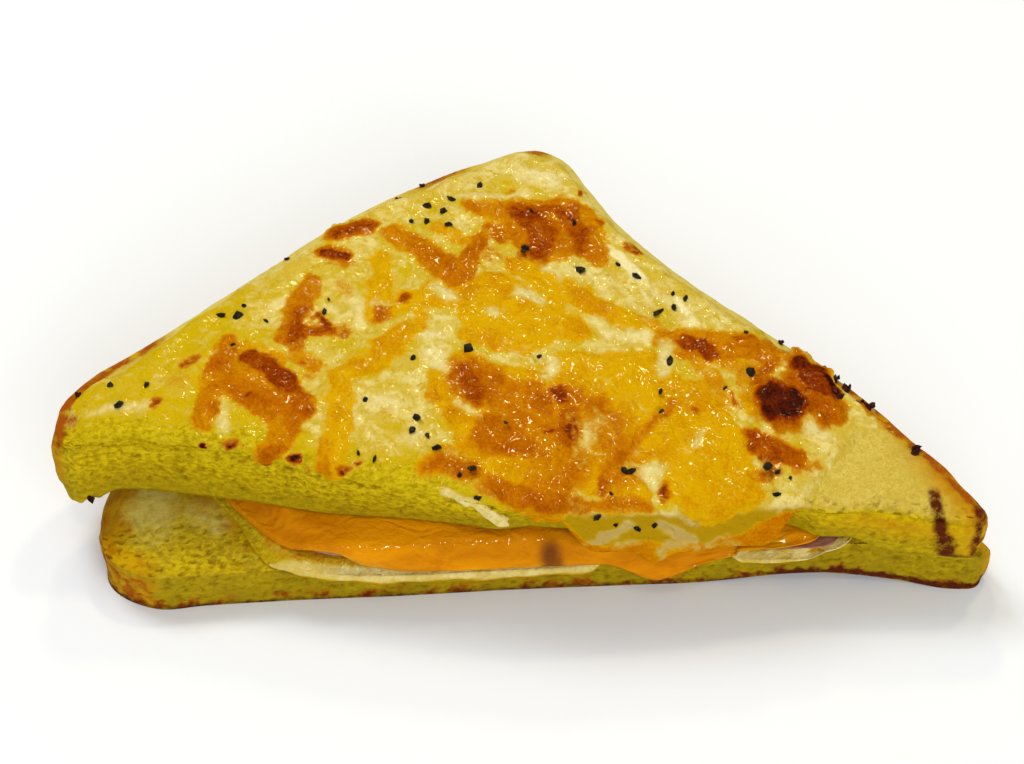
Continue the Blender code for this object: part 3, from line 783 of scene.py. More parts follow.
@dataclass(frozen=True)
class CrumbFinish:
    """Toasted bread: spongy crumb at the cut, paler crumb on the faces, a golden crust with brown rims."""

    cut_light: Colour = srgb(212, 184, 10)
    cut_dark: Colour = srgb(162, 136, 2)
    shade: Colour = srgb(148, 124, 14)
    soaked: tuple[Colour, Colour] = SOAKED
    face: Colour = srgb(214, 192, 92)
    face_dark: Colour = srgb(190, 162, 54)
    crust: Colour = srgb(182, 124, 4)
    crust_light: Colour = srgb(200, 158, 8)
    toast: Colour = srgb(158, 78, 8)
    grill: Colour = srgb(86, 32, 12)
    smear: Colour = srgb(216, 200, 106)
    pore_shade: Colour = srgb(170, 142, 70)

    def material(self) -> bpy.types.Material:
        """Builds the material from the masks face, crust, toast, grill, pore shade, shade, smear and soaked.
        """
        s = Shader("toasted bread")
        sponge = s.sponge()
        broad = s.noise(9, 3)
        cut = s.blend(s.stretch(sponge, 0.36, 0.64), self.cut_dark, self.cut_light)
        shade = s.math("MULTIPLY", s.mask("shade"), s.stretch(broad, 0.25, 0.7, 0.55, 0.95))
        cut = s.blend(shade, cut, self.shade)
        fibre = s.noise(0.7, 4, 0.7, warp=1.2)
        face = s.blend(s.stretch(fibre, 0.32, 0.7), self.face_dark, self.face)
        face = s.blend(s.stretch(broad, 0.35, 0.7, 0.0, 0.45), face, self.face_dark)
        colour = s.blend(s.mask("face"), cut, face)
        uneven = s.stretch(s.noise(1.4, 4, 0.7), 0.3, 0.7, -0.35, 0.35)
        wet = s.blend(s.stretch(sponge, 0.36, 0.62), *self.soaked)
        colour = s.blend(s.stretch(s.uneven_mask("soaked", uneven), 0.0, 0.9), colour, wet)
        colour = s.blend(s.stretch(s.uneven_mask("smear", uneven), 0.1, 0.9), colour, self.smear)
        crust = s.blend(s.stretch(s.noise(4, 4, 0.6), 0.35, 0.7), self.crust, self.crust_light)
        colour = s.blend(s.mask("crust"), colour, crust)
        colour = s.blend(s.stretch(s.uneven_mask("toast", uneven), 0.12, 0.85), colour, self.toast)
        colour = s.blend(s.stretch(s.uneven_mask("grill", uneven), 0.1, 0.9), colour, self.grill)
        # Painted shade: the crumb is darkened deep in its pores.
        s.paint(s.blend(s.math("MULTIPLY", s.mask("pore_shade"), 0.6), colour, self.pore_shade, "MULTIPLY"))
        s.body(s.stretch(sponge, 0.2, 0.8, 0.7, 0.9), 0.15, 0.8, (1.0, 0.7, 0.2), specular=0.06)
        s.bump((s.noise(0.7, 4, 0.7), 0.14), (s.noise(0.3, 3, 0.7), 0.07))
        return s.material


@dataclass(frozen=True)
class BakedFinish:
    """White sauce and melted cheddar baked together: cream, yellow, orange and brown under an oily film."""

    name: str
    pale: Colour = srgb(230, 213, 134)
    cream: Colour = srgb(208, 180, 68)
    butter_and_hollow_shade: Colour = srgb(202, 170, 8)
    white: Colour = srgb(238, 226, 166)
    pink: Colour = srgb(188, 158, 84)
    thin: Colour = srgb(176, 138, 10)
    tan: Colour = srgb(184, 140, 10)
    bread: tuple[Colour, Colour] = SOAKED
    gloss: float = 0.35

    def material(self) -> bpy.types.Material:
        """Builds the material from the masks crumb, cheese, brown, butter and hollow shade, thin, white and
        pink.
        """
        s = Shader(self.name)
        cloud = s.noise(3.6, 5, 0.66, warp=0.6)
        curd = s.noise(1.5, 4, 0.65, warp=0.5)
        fine = s.noise(0.5, 3, 0.7)
        sauce = s.blend(s.stretch(cloud, 0.4, 0.58), self.pale, self.cream)
        sauce = s.blend(s.stretch(curd, 0.54, 0.7, 0.0, 0.75), sauce, self.tan)
        sauce = s.blend(s.stretch(fine, 0.56, 0.74, 0.0, 0.5), sauce, self.tan)
        uneven = s.stretch(curd, 0.28, 0.72, -0.4, 0.4)
        # Butter yellow, which also carries painted shade in the hollows of the sauce's relief.
        sauce = s.blend(s.stretch(s.uneven_mask("butter_and_hollow_shade", uneven), 0.05, 1.0), sauce, self.butter_and_hollow_shade)
        bread = s.blend(s.stretch(s.sponge(), 0.36, 0.62), *self.bread)
        sauce = s.blend(s.stretch(s.uneven_mask("crumb", uneven), 0.1, 0.9), sauce, bread)
        sauce = s.blend(s.mask("thin"), sauce, self.thin)
        sauce = s.blend(s.stretch(s.uneven_mask("white", uneven), 0.1, 0.9), sauce, self.white)
        sauce = s.blend(s.stretch(s.uneven_mask("pink", uneven), 0.1, 0.9), sauce, self.pink)
        brown = s.uneven_mask("brown", uneven)
        sauce = s.blend(s.stretch(brown, 0.04, 0.34), sauce, s.ramp(brown, SCORCHING))
        baked = s.math("ADD", s.mask("brown"), s.stretch(cloud, 0.3, 0.7, -0.08, 0.08))
        baked = s.math("ADD", baked, s.stretch(fine, 0.3, 0.7, -0.07, 0.07))
        cheese = s.math("ADD", s.mask("cheese"), s.stretch(curd, 0.25, 0.75, -0.28, 0.28))
        s.paint(s.blend(s.stretch(cheese, 0.12, 0.88), sauce, s.ramp(baked, TOASTING)))
        s.body(0.6, 0.12, 0.8, (1.0, 0.6, 0.2), 0.0)
        s.bump((s.noise(2.4, 2, 0.5, warp=0.8), 0.6), (curd, 0.35), (fine, 0.22))
        s.film(s.math("MULTIPLY", self.gloss, s.stretch(brown, 0.45, 0.75, 1.0, 0.25)), 0.08, 2.4, 0.4)
        return s.material


@dataclass(frozen=True)
class SliceFinish:
    """A slice of cheddar melted to a smooth, deep orange glaze."""

    light: Colour = srgb(230, 150, 2)
    dark: Colour = srgb(190, 108, 1)
    ham: Colour = srgb(112, 56, 20)

    def material(self) -> bpy.types.Material:
        """Builds the material from the masks deep and ham."""
        s = Shader("melted cheddar slice")
        cloud = s.noise(4, 4, 0.6, (0.5, 1, 1), 0.8)
        deep = s.math("ADD", s.mask("deep"), s.stretch(cloud, 0.35, 0.7, -0.2, 0.3))
        s.paint(s.blend(s.mask("ham"), s.blend(deep, self.light, self.dark), self.ham))
        s.body(0.5, 0.2, 1.4, (1.0, 0.4, 0.05), 0.05)
        s.bump((s.noise(3.0, 2, 0.5, (0.6, 1, 1), 1.5), 0.5), (s.noise(0.6, 3, 0.6), 0.12))
        s.film(1.0, 0.06, 2.8, 0.55)
        return s.material


@dataclass(frozen=True)
class HamFinish:
    """Cooked ham, moist and mottled purple-brown."""

    lean: Colour = srgb(142, 92, 74)
    fat: Colour = srgb(190, 146, 118)

    def material(self) -> bpy.types.Material:
        """Builds the material."""
        s = Shader("cooked ham")
        grain = s.noise(1.2, 4, 0.6, (0.4, 1, 1))
        s.paint(s.blend(s.stretch(grain, 0.4, 0.8), self.lean, self.fat))
        s.body(s.stretch(grain, 0.3, 0.7, 0.3, 0.45), 0.3, 1.5, (1.0, 0.4, 0.3), 0.2)
        s.bump((s.noise(0.8, 3), 0.12))
        return s.material


@dataclass(frozen=True)
class SpeckFinish:
    """Cracked pepper or a burnt crumb: dark, with paler broken faces."""

    name: str
    dark: Colour
    light: Colour
    roughness: float = 0.5

    def material(self) -> bpy.types.Material:
        """Builds the material."""
        s = Shader(self.name)
        s.paint(s.blend(s.stretch(s.noise(0.6, 3), 0.5, 0.8, 0.0, 0.7), self.dark, self.light))
        s.body(self.roughness, specular=0.4)
        s.bump((s.noise(0.3, 3), 0.08))
        return s.material


@dataclass(frozen=True)
class Patch:
    """One patch of melted cheddar. With a thickness of 1 it stands about 0.3 mm above the sauce."""

    node: str
    thickness: float
    bake: Bake
    strokes: tuple[Stroke, ...]


# Strokes are runs of (x, y, half width). A y beyond the cut edge lies that far down the front.
PATCHES = (
    Patch("cheddar_melt_corner", 1.3, Bake.GOLDEN, (
        ((-7, 26.5, 2.4), (1, 24, 3.8), (10, 24, 3.8)), ((2, 21, 4.4), (7, 16, 4.4)),
        ((12, 22, 3.6), (15, 13, 2.2)), ((0, 29, 1.5), (2, 25, 2)))),
    Patch("cheddar_melt_left_crust", 1.1, Bake.BROWNED, (((-31.5, 18.9, 1.7), (-25, 21, 2.1)),)),
    Patch("cheddar_melt_hook", 1.2, Bake.GOLDEN, (
        ((-20.5, 18.8, 2.3), (-15.5, 14.8, 2.8), (-9.5, 8, 2.8)), ((-5.5, 18, 1.6), (-8.5, 10, 2.3)))),
    Patch("cheddar_melt_spot", 1.0, Bake.BROWNED, (((-33, 14.4, 1.4), (-29, 14, 1.4)),)),
    Patch("cheddar_melt_blister", 1.5, Bake.GOLDEN, (
        ((-35, 7.5, 1.9), (-37, 0, 2.4), (-38, -5, 2.1)), ((-36, -4, 1.8), (-31, -4, 1.6)))),
    Patch("cheddar_melt_net", 1.0, Bake.MELTED, (
        ((-22.5, 12.5, 2), (-23, -0.5, 2.3)), ((-23, -0.5, 2.2), (-18, 3, 2.4)),
        ((-18, 3, 2.2), (-9, 4, 3), (-3, 6, 3.2)), ((-3, 6, 3.2), (5, -1, 4.5), (11, -4, 2.6)),
        ((-6, 0, 3), (5, -5, 3)), ((1, 11, 2.2), (8.5, 5.5, 2.6), (15, 1.5, 2.4), (23, -3.6, 2)),
        ((5, 8, 2), (6, 0, 3)))),
    Patch("cheddar_melt_strand", 1.0, Bake.MELTED, (
        ((-17.5, -4, 2.3), (-24, -11, 2.5)), ((-24, -11, 2.2), (-28.6, -13.5, 2.3), (-29, -27, 2.2)),
        ((-29, -27, 2.2), (-29.5, -35, 1.5)))),
    Patch("cheddar_melt_arch", 1.4, Bake.GOLDEN, (
        ((-48, -7, 1.9), (-49.5, -13, 2.8), (-51.4, -23.5, 1.8)),
        ((-49, -14, 3.1), (-43, -17.5, 3.4), (-38, -21.5, 3.4)),
        ((-44.5, -10.5, 2.3), (-39.5, -14.5, 2.7), (-35, -20.5, 2.8)),
        ((-36, -21, 3.1), (-38.5, -27.5, 2.5), (-40.6, -31.5, 2.1)))),
    Patch("cheddar_melt_middle", 1.3, Bake.MELTED, (
        ((-11, -14, 3.4), (-8, -18, 4.6), (-4, -30, 4.6)), ((-8, -12, 3), (0, -17, 4.6), (8, -17, 4.6)),
        ((8, -12, 3.4), (19, -11, 3), (23, -9, 2)), ((4, -20, 5.4), (4, -35, 6), (6, -40, 3.4)),
        ((-4, -30, 4.6), (2, -38, 3.6)), ((12, -18, 4), (18, -20, 3.6), (17, -28, 3)),
        ((21, -14, 4), (29, -18, 5), (34, -26, 5.6)), ((24, -24, 4), (30, -34, 5.4), (33, -38, 4.4)),
        ((34, -26, 5), (37, -35, 4.2)), ((12, -32, 3.6), (20, -36, 3)))),
    Patch("cheddar_melt_right", 1.3, Bake.GOLDEN, (
        ((25.5, -5, 2.2), (32, -6, 3.4), (39, -6, 3)), ((39, -6, 2.8), (44, -7, 2)))),
    Patch("cheddar_melt_char", 3.0, Bake.BURNT, (
        ((43.5, -16.5, 4.5), (46.5, -17.5, 4.2)), ((48.5, -9, 2.6), (51.5, -12, 2.8)),
        ((49, -13, 3.2), (53.8, -18.5, 2.9)), ((46, -20.5, 2.8), (51, -20.5, 2.4)))),
    Patch("cheddar_melt_brown", 0.9, Bake.BROWNED, (((40.5, -25, 2.1), (44, -27, 2.8), (47.5, -28, 1.8)),)),
)


@dataclass(frozen=True)
class Scorch:
    """A browned place: a stroke, how dark it is in its middle, and how softly it ends."""

    stroke: Stroke
    dark: float
    soft: float = 1.6


BROWNED = (
    # The patch in the whole corner.
    Scorch(((1.5, 24, 2.6), (5, 20, 3.8), (5, 14, 2.6)), 0.56, 3.0),
    Scorch(((9.5, 24, 2.0), (12, 19, 2.4), (12.5, 15, 1.8)), 0.5, 2.6),
    Scorch(((2, 24.5, 1.4), (11, 24.5, 1.6)), 0.48, 1.8),
    Scorch(((0.5, 24.5, 0.4), (4, 23.5, 0.4)), 0.7, 0.8),
    Scorch(((9, 24, 0.5), (10.5, 22, 0.6)), 0.68, 0.9),
    Scorch(((12, 19.5, 0.5), (12.5, 18, 0.5)), 0.56, 1.0),
    Scorch(((2, 14, 1.0), (4, 12.5, 1.0)), 0.56, 1.4),
    Scorch(((-4, 20.6, 1.2), (-1.5, 17.8, 1.2)), 0.42, 2.2),
    Scorch(((14.6, 21.4, 0.7), (15.4, 20.8, 0.7)), 0.55),
    # The patch at the left-hand crust.
    Scorch(((-31.5, 18.6, 1.1), (-25.5, 21, 1.2)), 0.58, 1.4),
    # The hooked patch.
    Scorch(((-12, 12.5, 1.8), (-9, 8, 1.8)), 0.38, 2),
    Scorch(((-17, 17, 1.8), (-14, 13.5, 2)), 0.34, 2),
    # The small spot.
    Scorch(((-32.5, 14, 0.9), (-29, 14.2, 1.1)), 0.68, 1.1),
    Scorch(((-31, 12.8, 1.8), (-28, 12, 1.4)), 0.3, 2.2),
    # The blister.
    Scorch(((-36, 1, 1.3), (-37, -6, 2.1)), 0.5, 2.4),
    Scorch(((-35, -4, 1.4), (-29, -4, 1.4)), 0.48, 1.6),
    Scorch(((-33.2, -0.5, 1.1), (-31, -4, 1.2)), 0.58, 1.4),
    # The net.
    Scorch(((-22.6, 1, 1.2), (-22.5, -1.5, 1.4)), 0.42, 2),
    Scorch(((-19, 3, 1.1), (-18.6, 3, 1.1)), 0.5, 1.4),
    # The strand.
    Scorch(((-27.5, -33.5, 0.8), (-27.3, -33, 0.8)), 0.8),
    # The arch.
    Scorch(((-44.5, -10, 1.8), (-41.5, -11.8, 2.2), (-38, -15.5, 2.3)), 0.59, 1.2),
    Scorch(((-36.5, -17.5, 2.2), (-34.5, -21.5, 2.0)), 0.47, 1.6),
    Scorch(((-46.5, -17.5, 1.2), (-42, -19, 1.2)), 0.44, 1.4),
    Scorch(((-44.2, -18.2, 0.5), (-44, -18, 0.5)), 0.74),
    Scorch(((-39.3, -29.5, 1.5), (-40.8, -32, 1.8)), 0.4, 1.6),
    Scorch(((-41.6, -32.6, 0.8), (-39.6, -33, 0.8)), 0.58, 1.0),
    # The large patch that runs over the cut.
    Scorch(((-8, -12.5, 2.0), (-6.2, -18, 2.4)), 0.54, 3.0),
    Scorch(((-7, -15, 4.5), (-4, -16, 4)), 0.4, 3.5),
    Scorch(((8, -17.2, 1.8), (8.4, -18.8, 1.8)), 0.6, 1.8),
    Scorch(((10, -18, 2.4), (14, -20, 2.4)), 0.34, 3),
    Scorch(((10, -22, 2.4), (9.4, -26, 2.4)), 0.44, 2.4),
    Scorch(((10.3, -23, 1.1), (9.7, -25, 1.1)), 0.68, 1.2),
    Scorch(((7, -25.3, 0.6), (6.5, -25.2, 0.6)), 0.66, 0.9),
    Scorch(((3.5, -17, 2.4), (5, -21, 2.2)), 0.4, 2.4),
    Scorch(((-3, -26, 4.2), (2, -28, 3)), 0.4, 3.5),
    Scorch(((0, -20, 5), (8, -30, 6), (6, -38, 4)), 0.3, 5),
    Scorch(((15, -22, 3.5), (18, -33, 3.5)), 0.26, 4),
    Scorch(((-4, -36, 2), (6, -39, 2.5), (12, -39, 2)), 0.4, 2.5),
    Scorch(((25, -35, 1.0), (25, -36.4, 1.0)), 0.6, 1.4),
    Scorch(((15.5, -34, 1.2), (15, -36, 1.2)), 0.42, 1.6),
    Scorch(((27, -18.5, 1.0), (16, -32, 1.4)), 0.34, 2.0),
    Scorch(((30.5, -20, 0.5), (30.3, -20, 0.5)), 0.5),
    Scorch(((13, -38.6, 1.4), (22, -38.6, 1.4)), 0.4, 3.0),
    # The patch at the right-hand crust.
    Scorch(((29.5, -5.4, 1.7), (33.5, -7.4, 2.0)), 0.6, 1.4),
    Scorch(((38.5, -4.6, 1.2), (41, -4.5, 0.8)), 0.44, 1.6),
    Scorch(((44.5, -5, 2.2), (48, -6.5, 1.6)), 0.34, 2.4),
    # The burnt lumps.
    Scorch(((46, -17.4, 4.0), (46.3, -19, 3.8)), 0.62, 3.2),
    Scorch(((46.4, -17.4, 2.9), (46.4, -18.9, 2.8)), 0.86, 2.4),
    Scorch(((43.4, -16.8, 3.0), (44.2, -18.6, 3.0)), 0.8, 2.6),
    Scorch(((49, -5.4, 0.5), (57, -12, 0.8)), 0.36, 2.0),
    Scorch(((48.3, -9.6, 1.9), (51.6, -10.4, 1.8)), 0.74, 1.4),
    Scorch(((50, -12, 2.4), (53, -15.6, 2.0)), 0.64, 2.0),
    Scorch(((53.2, -12, 1.1), (55, -14, 1.0)), 0.92, 1.0),
    Scorch(((49.8, -15.6, 0.5), (51.4, -16.2, 0.5)), 0.7, 1.0),
    Scorch(((53.8, -16.6, 0.6), (54.6, -17, 0.6)), 0.5, 1.0),
    # The small browned patch in front of them.
    Scorch(((40.5, -24.5, 1.7), (44, -25.8, 2.2), (46.5, -27.5, 1.6)), 0.52, 2.4),
    Scorch(((42, -29, 0.7), (41.5, -28.5, 0.7)), 0.6, 1.2),
    Scorch(((47, -30, 1.4), (51, -28.5, 0.8)), 0.34, 2),
    # Spots on the bare sauce and at its edges.
    Scorch(((-29.5, 6.4, 1.1), (-28, 4.2, 1.2)), 0.26, 2),
    Scorch(((-55, -10.5, 1.2), (-54, -10, 1.3)), 0.56, 1.6),
    Scorch(((-60, -19.5, 1.1), (-59.8, -19, 1.1)), 0.52, 1.4),
    Scorch(((-46.7, -28.5, 1.2), (-46.2, -28, 1.2)), 0.72),
    Scorch(((-35.7, -31.2, 1.1), (-35.2, -30.8, 1.1)), 0.9, 1.0),
    Scorch(((-51.2, -28.5, 0.5), (-50.8, -28.3, 0.5)), 0.9, 0.6),
    Scorch(((-33.5, -33.5, 0.3), (-33.3, -33, 0.3)), 0.8),
    Scorch(((-44.5, -29.6, 0.3), (-44.4, -29, 0.3)), 0.85, 0.6),
    Scorch(((-25.5, -31.6, 0.5), (-25, -31, 0.5)), 0.7),
    Scorch(((-35.5, -10.5, 0.6), (-35, -10.5, 0.5)), 0.5),
    Scorch(((-34.5, -14, 1.0), (-33.5, -14.5, 1.0)), 0.28),
    Scorch(((36.8, -15, 0.5), (38.4, -18.5, 0.6)), 0.54, 1.2),
    Scorch(((44.4, -9, 1.6), (41.5, -12.5, 1.6)), 0.44, 2.4),
    Scorch(((-14.5, -33, 1.0), (-11, -31, 1.8), (-7, -33, 2.2)), 0.44, 3.4),
    Scorch(((42, -31.6, 1.5), (43.4, -30, 1.3)), 0.5, 2.4),
    Scorch(((57.6, -12.6, 0.9), (60, -16, 1.2), (63, -19.8, 1.0)), 0.46, 2.6),
    Scorch(((12, 29.5, 0.6), (12.2, 29.3, 0.6)), 0.66, 1.0),
    Scorch(((20.6, 15.4, 1.2), (21.4, 15, 1.2)), 0.56, 1.4),
    Scorch(((-56, -15, 2.4), (-58, -14, 1.6)), 0.2, 3),
    Scorch(((-4, 14, 2.2), (-3, 13, 2)), 0.28, 3),
)

# Cream that shows through the cheddar.
CREAM = (
    ((1.5, 4, 1.6), (5, 2.5, 1.2)), ((-3.5, 0.6, 0.9), (-2.5, 0.3, 0.9)),
    ((6.8, -10.5, 1.5), (6, -13.5, 1.0)), ((12.6, -26, 1.0), (14.6, -21.5, 1.0)),
    ((21.5, -32.4, 1.4), (24, -31.4, 1.5), (23.6, -34, 1.2)), ((11.6, -31.5, 0.7), (12, -29, 0.6)),
    ((-13.5, -9.5, 2.2), (-11.5, -12.4, 1.4)), ((-9, -19.5, 0.7), (-6, -22.4, 0.7)),
    ((49.4, -22, 1.0), (52.4, -23.6, 1.4)), ((-24, 1.5, 0.4), (-21, 2.2, 0.6)),
    ((14, -1.5, 1.0), (16.5, -4.5, 1.2)), ((30, -27, 0.6), (31.5, -24, 0.5)),
    ((-13, 5, 1.5), (-10.5, 3.5, 1.3)), ((6, 10, 1.2), (8, 8.5, 1.0)), ((17, -4, 1.2), (23, -5, 1.5)),
    ((25.5, -12, 1.3), (26.5, -7, 1.3)), ((-10, 28, 0.9), (-4, 27.6, 0.9), (3, 29, 0.9)),
)

# Where cheddar has only coloured the sauce.
STAINED = (
    ((36, -9, 1.6), (41, -11, 2.4)), ((40, -12, 2.0), (41.2, -19, 2.0)), ((-37, -9, 1.4), (-33, -12, 1.4)),
    ((-14, 6, 1.5), (-16, -2, 1.2)), ((22, -1, 1.2), (27, -4, 1.2)), ((-45, -8, 2), (-40, -11, 2)),
    ((-31, -27, 1), (-30, -34, 1.6)), ((20, -28, 2), (26, -30, 2)), ((36, -31, 2), (40, -32, 1.6)),
    ((-13, 20, 1.2), (-8, 17, 1.4)), ((-7, -5, 2.0), (2, -7, 2.2)), ((-12, -12, 1.6), (-13, -18, 1.4)),
    ((-14.5, -33, 1.6), (-11, -30.5, 2.6), (-5, -32, 3.0)),
    ((32, -10, 1.6), (34, -13.5, 1.8), (36, -18, 2.0)), ((44, -9, 1.6), (41.5, -12.5, 1.8)),
    ((13, -38.8, 1.4), (18, -39, 1.4), (22, -38.8, 1.4)), ((-5, 24, 1.2), (-1, 17.5, 1.2)),
    ((33, -33, 1.2), (36, -32, 1.4)),
)

# Pale folds in the sauce that has run down the front.
RUNS = (
    ((10, -51, 0.4), (13.4, -47.7, 0.6), (16.9, -45.4, 0.9), (19, -43.5, 0.9)),
    ((17.5, -48.5, 1.0), (20, -48, 1.2)), ((24.5, -43.5, 1.0), (29, -46, 1.5)),
    ((25, -49, 0.9), (25, -52.5, 0.7)), ((26, -48, 1.1), (31, -48.2, 0.6)),
    ((31, -48, 0.6), (35, -47, 1.4), (37.5, -47.5, 1.2)),
)

# The strip of sauce that hangs off the cut beside them.
STRIP = ((-11, -37.4, 0.9), (-8.4, -39.2, 1.1), (-6, -40.9, 1.2), (-3.6, -42.8, 1.2), (-1.8, -44.4, 1.3))

# Where the sauce is thick and pale.
WHITE = (
    ((16, 8.5, 0.5), (19.5, 4, 0.7), (23.5, -0.5, 0.6), (26, -3, 0.4)),
    ((19, 13, 0.7), (25.5, 4, 0.9), (31, -1, 0.7)), ((13, 9.5, 0.8), (17, 4.5, 0.7)),
    ((-15.5, -4.2, 1.8), (-12, -5, 1.5)), ((-10.5, 3.6, 1.0), (-13, 0.5, 0.8)),
    ((-70.5, -21, 0.8), (-66, -20.4, 1.4), (-61, -19.8, 1.2)), ((-48.5, -19, 0.8), (-48, -24, 1.6)),
    ((-36.5, 3.5, 1.2), (-41, 1.5, 1.4)), ((-28, -18.5, 1.2), (-26, -23, 1.6)),
    ((-27, 2, 1.6), (-26, -2, 1.4)), ((-24, -19, 1.2), (-20, -20, 1.8)), ((-18, -27, 1.2), (-15, -26, 1.4)),
    ((25, -40, 0.8), (30, -42, 0.8)), ((50.5, -31.5, 0.5), (47.5, -35, 0.6), (44, -39, 0.7)),
    ((1, 35, 2.2), (7, 33, 2.6)), ((-3, 19, 1.0), (-4.5, 14.5, 0.9)),
)


class Slab:
    """What the slices of bread and the layers between them share: a closed form between two faces."""

    COLUMNS: int
    REST_ROWS: int
    LAYERS: int

    def slab(self, lines: tuple[tuple[Array, Outline], ...], faces: tuple[Height, Height],
             near: Sequence[float], bulge: float) -> tuple[bmesh.types.BMesh, Array, Array]:
        """A closed form between two faces.

        Args:
            lines: The front and back lines of the lower face, then of the upper one.
            faces: The height of each face.
            near: Distances of the rows behind the front.
            bulge: How far the back swells.

        Returns:
            The bmesh, where its vertices go, and their places on the block that it is made of.
        """
        bm = Builder.block(self.COLUMNS, len(near) + self.REST_ROWS - 1, self.LAYERS)
        at = Builder.places(bm)
        u, v, w = at[:, 0] + 0.5, at[:, 1] + 0.5, at[:, 2]
        ends = []
        for (front, back), height in zip(lines, faces):
            plan = self.spread(front.along(u), back.along(u), near, v)
            ends.append(np.column_stack([plan, height(plan[:, 0], plan[:, 1])]))
        points = ends[0] + (ends[1] - ends[0]) * w[:, None]
        facing = Builder.normals(bm, points)
        level = facing * (1, 1, 0)
        level /= np.maximum(np.linalg.norm(level, axis=1), 0.1)[:, None]
        near_crust = eased(1 - np.abs(lines[0][1].inside(points[:, 0], points[:, 1])) / 3)
        swell = bulge * near_crust * (1 - (2 * w - 1) ** 4)
        points = points + level * swell[:, None]
        return bm, points, np.column_stack([u, v, w])

    def spread(self, front: Array, back: Array, near: Sequence[float], v: Array) -> Array:
        """Places between two lines. Near rows keep their distance from the front, the others are spread.

        Args:
            front: Points of the front line.
            back: Points of the back line.
            near: The distances that are kept.
            v: From 0 at the front to 1 at the back.

        Returns:
            One place to a row.
        """
        length = np.hypot(*(back - front).T)
        last = len(near) - 1
        row = np.rint(v * (last + self.REST_ROWS)).astype(int)
        scale = np.minimum(1.0, 0.4 * length / near[-1])
        reached = near[-1] * scale
        kept = np.array(near, float)[np.clip(row, 0, last)] * scale
        shared = reached + (length - reached) * (row - last) / self.REST_ROWS
        share = np.where(row <= last, kept, shared) / np.maximum(length, 1e-6)
        return front + (back - front) * share[:, None]


class Bread(Slab):
    """What both slices of bread share."""

    COLUMNS = 380
    REST_ROWS = 16
    LAYERS = 22

    def crumb_relief(self, points: Array, block: Array, crust: Outline,
                     front: Array) -> tuple[Array, Array, Array]:
        """The sponge of the cut, the weave of the faces and the wrinkles of the crust.

        Args:
            points: Where the slice's vertices are.
            block: Their places on the block.
            crust: The slice's crust line.
            front: How far each vertex lies behind the cut.

        Returns:
            How far each vertex moves out, how deep it lies in a pore, to be painted as shade, and how near the
            crust it is.
        """
        on_cut = (block[:, 1] < 0.001) * eased(4 * block[:, 2])
        bare_left = eased((-36 - points[:, 0]) / 8) * eased(1.2 - front / 16)
        open_face = np.maximum(eased(1.2 - front / 3.5), bare_left)
        on_cut = np.maximum(on_cut, 1.3 * open_face * (block[:, 2] > 0.999))
        depth = crust.inside(points[:, 0], points[:, 1])
        near_crust = eased(1.25 - np.maximum(depth, 0) / 2.2 + 0.3 * mottle(points, 6, 2, 4))
        sponge = mottle(points * (0.75, 1, 1.2), 1.2, 4, 1)
        holes = eased(3.0 * (mottle(points * (0.8, 1, 1.1), 1.0, 3, 2) - 0.22))
        swell = mottle(points, 7, 2, 14)
        crumb = 0.14 * sponge - 0.26 * holes - 0.16 + 0.12 * swell
        soft = 0.04 * sponge - 0.06 + 0.08 * swell
        wrinkle = 0.16 * mottle(points * (1, 1, 1.6), 4, 4, 3) - 0.12
        move = (crumb * on_cut + soft * (1 - on_cut)) * (1 - near_crust) + wrinkle * near_crust
        return move, np.clip(0.8 * holes + np.maximum(-sponge, 0) * 0.6, 0, 1) * on_cut, near_crust

    @staticmethod
    def rounded(points: Array, cut: Array, top: Array, from_cut: Array, radius: Array) -> Array:
        """Rounds the upper edge along the cut.

        Args:
            points: Where the slice's vertices are.
            cut: Which of them lie on the cut.
            top: How far each lies below the upper face.
            from_cut: How far each lies behind the cut.
            radius: How round the edge is at each.

        Returns:
            Where the vertices go.
        """
        near = np.clip(1 - np.where(cut, top, from_cut) / radius, 0, 1) ** 2 * 0.3 * radius
        upper = cut | (top < 0.6)
        back = np.where(cut, near, 0.0)
        on_cut = np.where(cut, 0.3 * radius * np.clip(1 - top, 0, 1), 0.0)
        down = np.where(upper & ~cut, near, 0.0) + on_cut
        return points + np.column_stack([np.zeros(len(points)), back, -down])


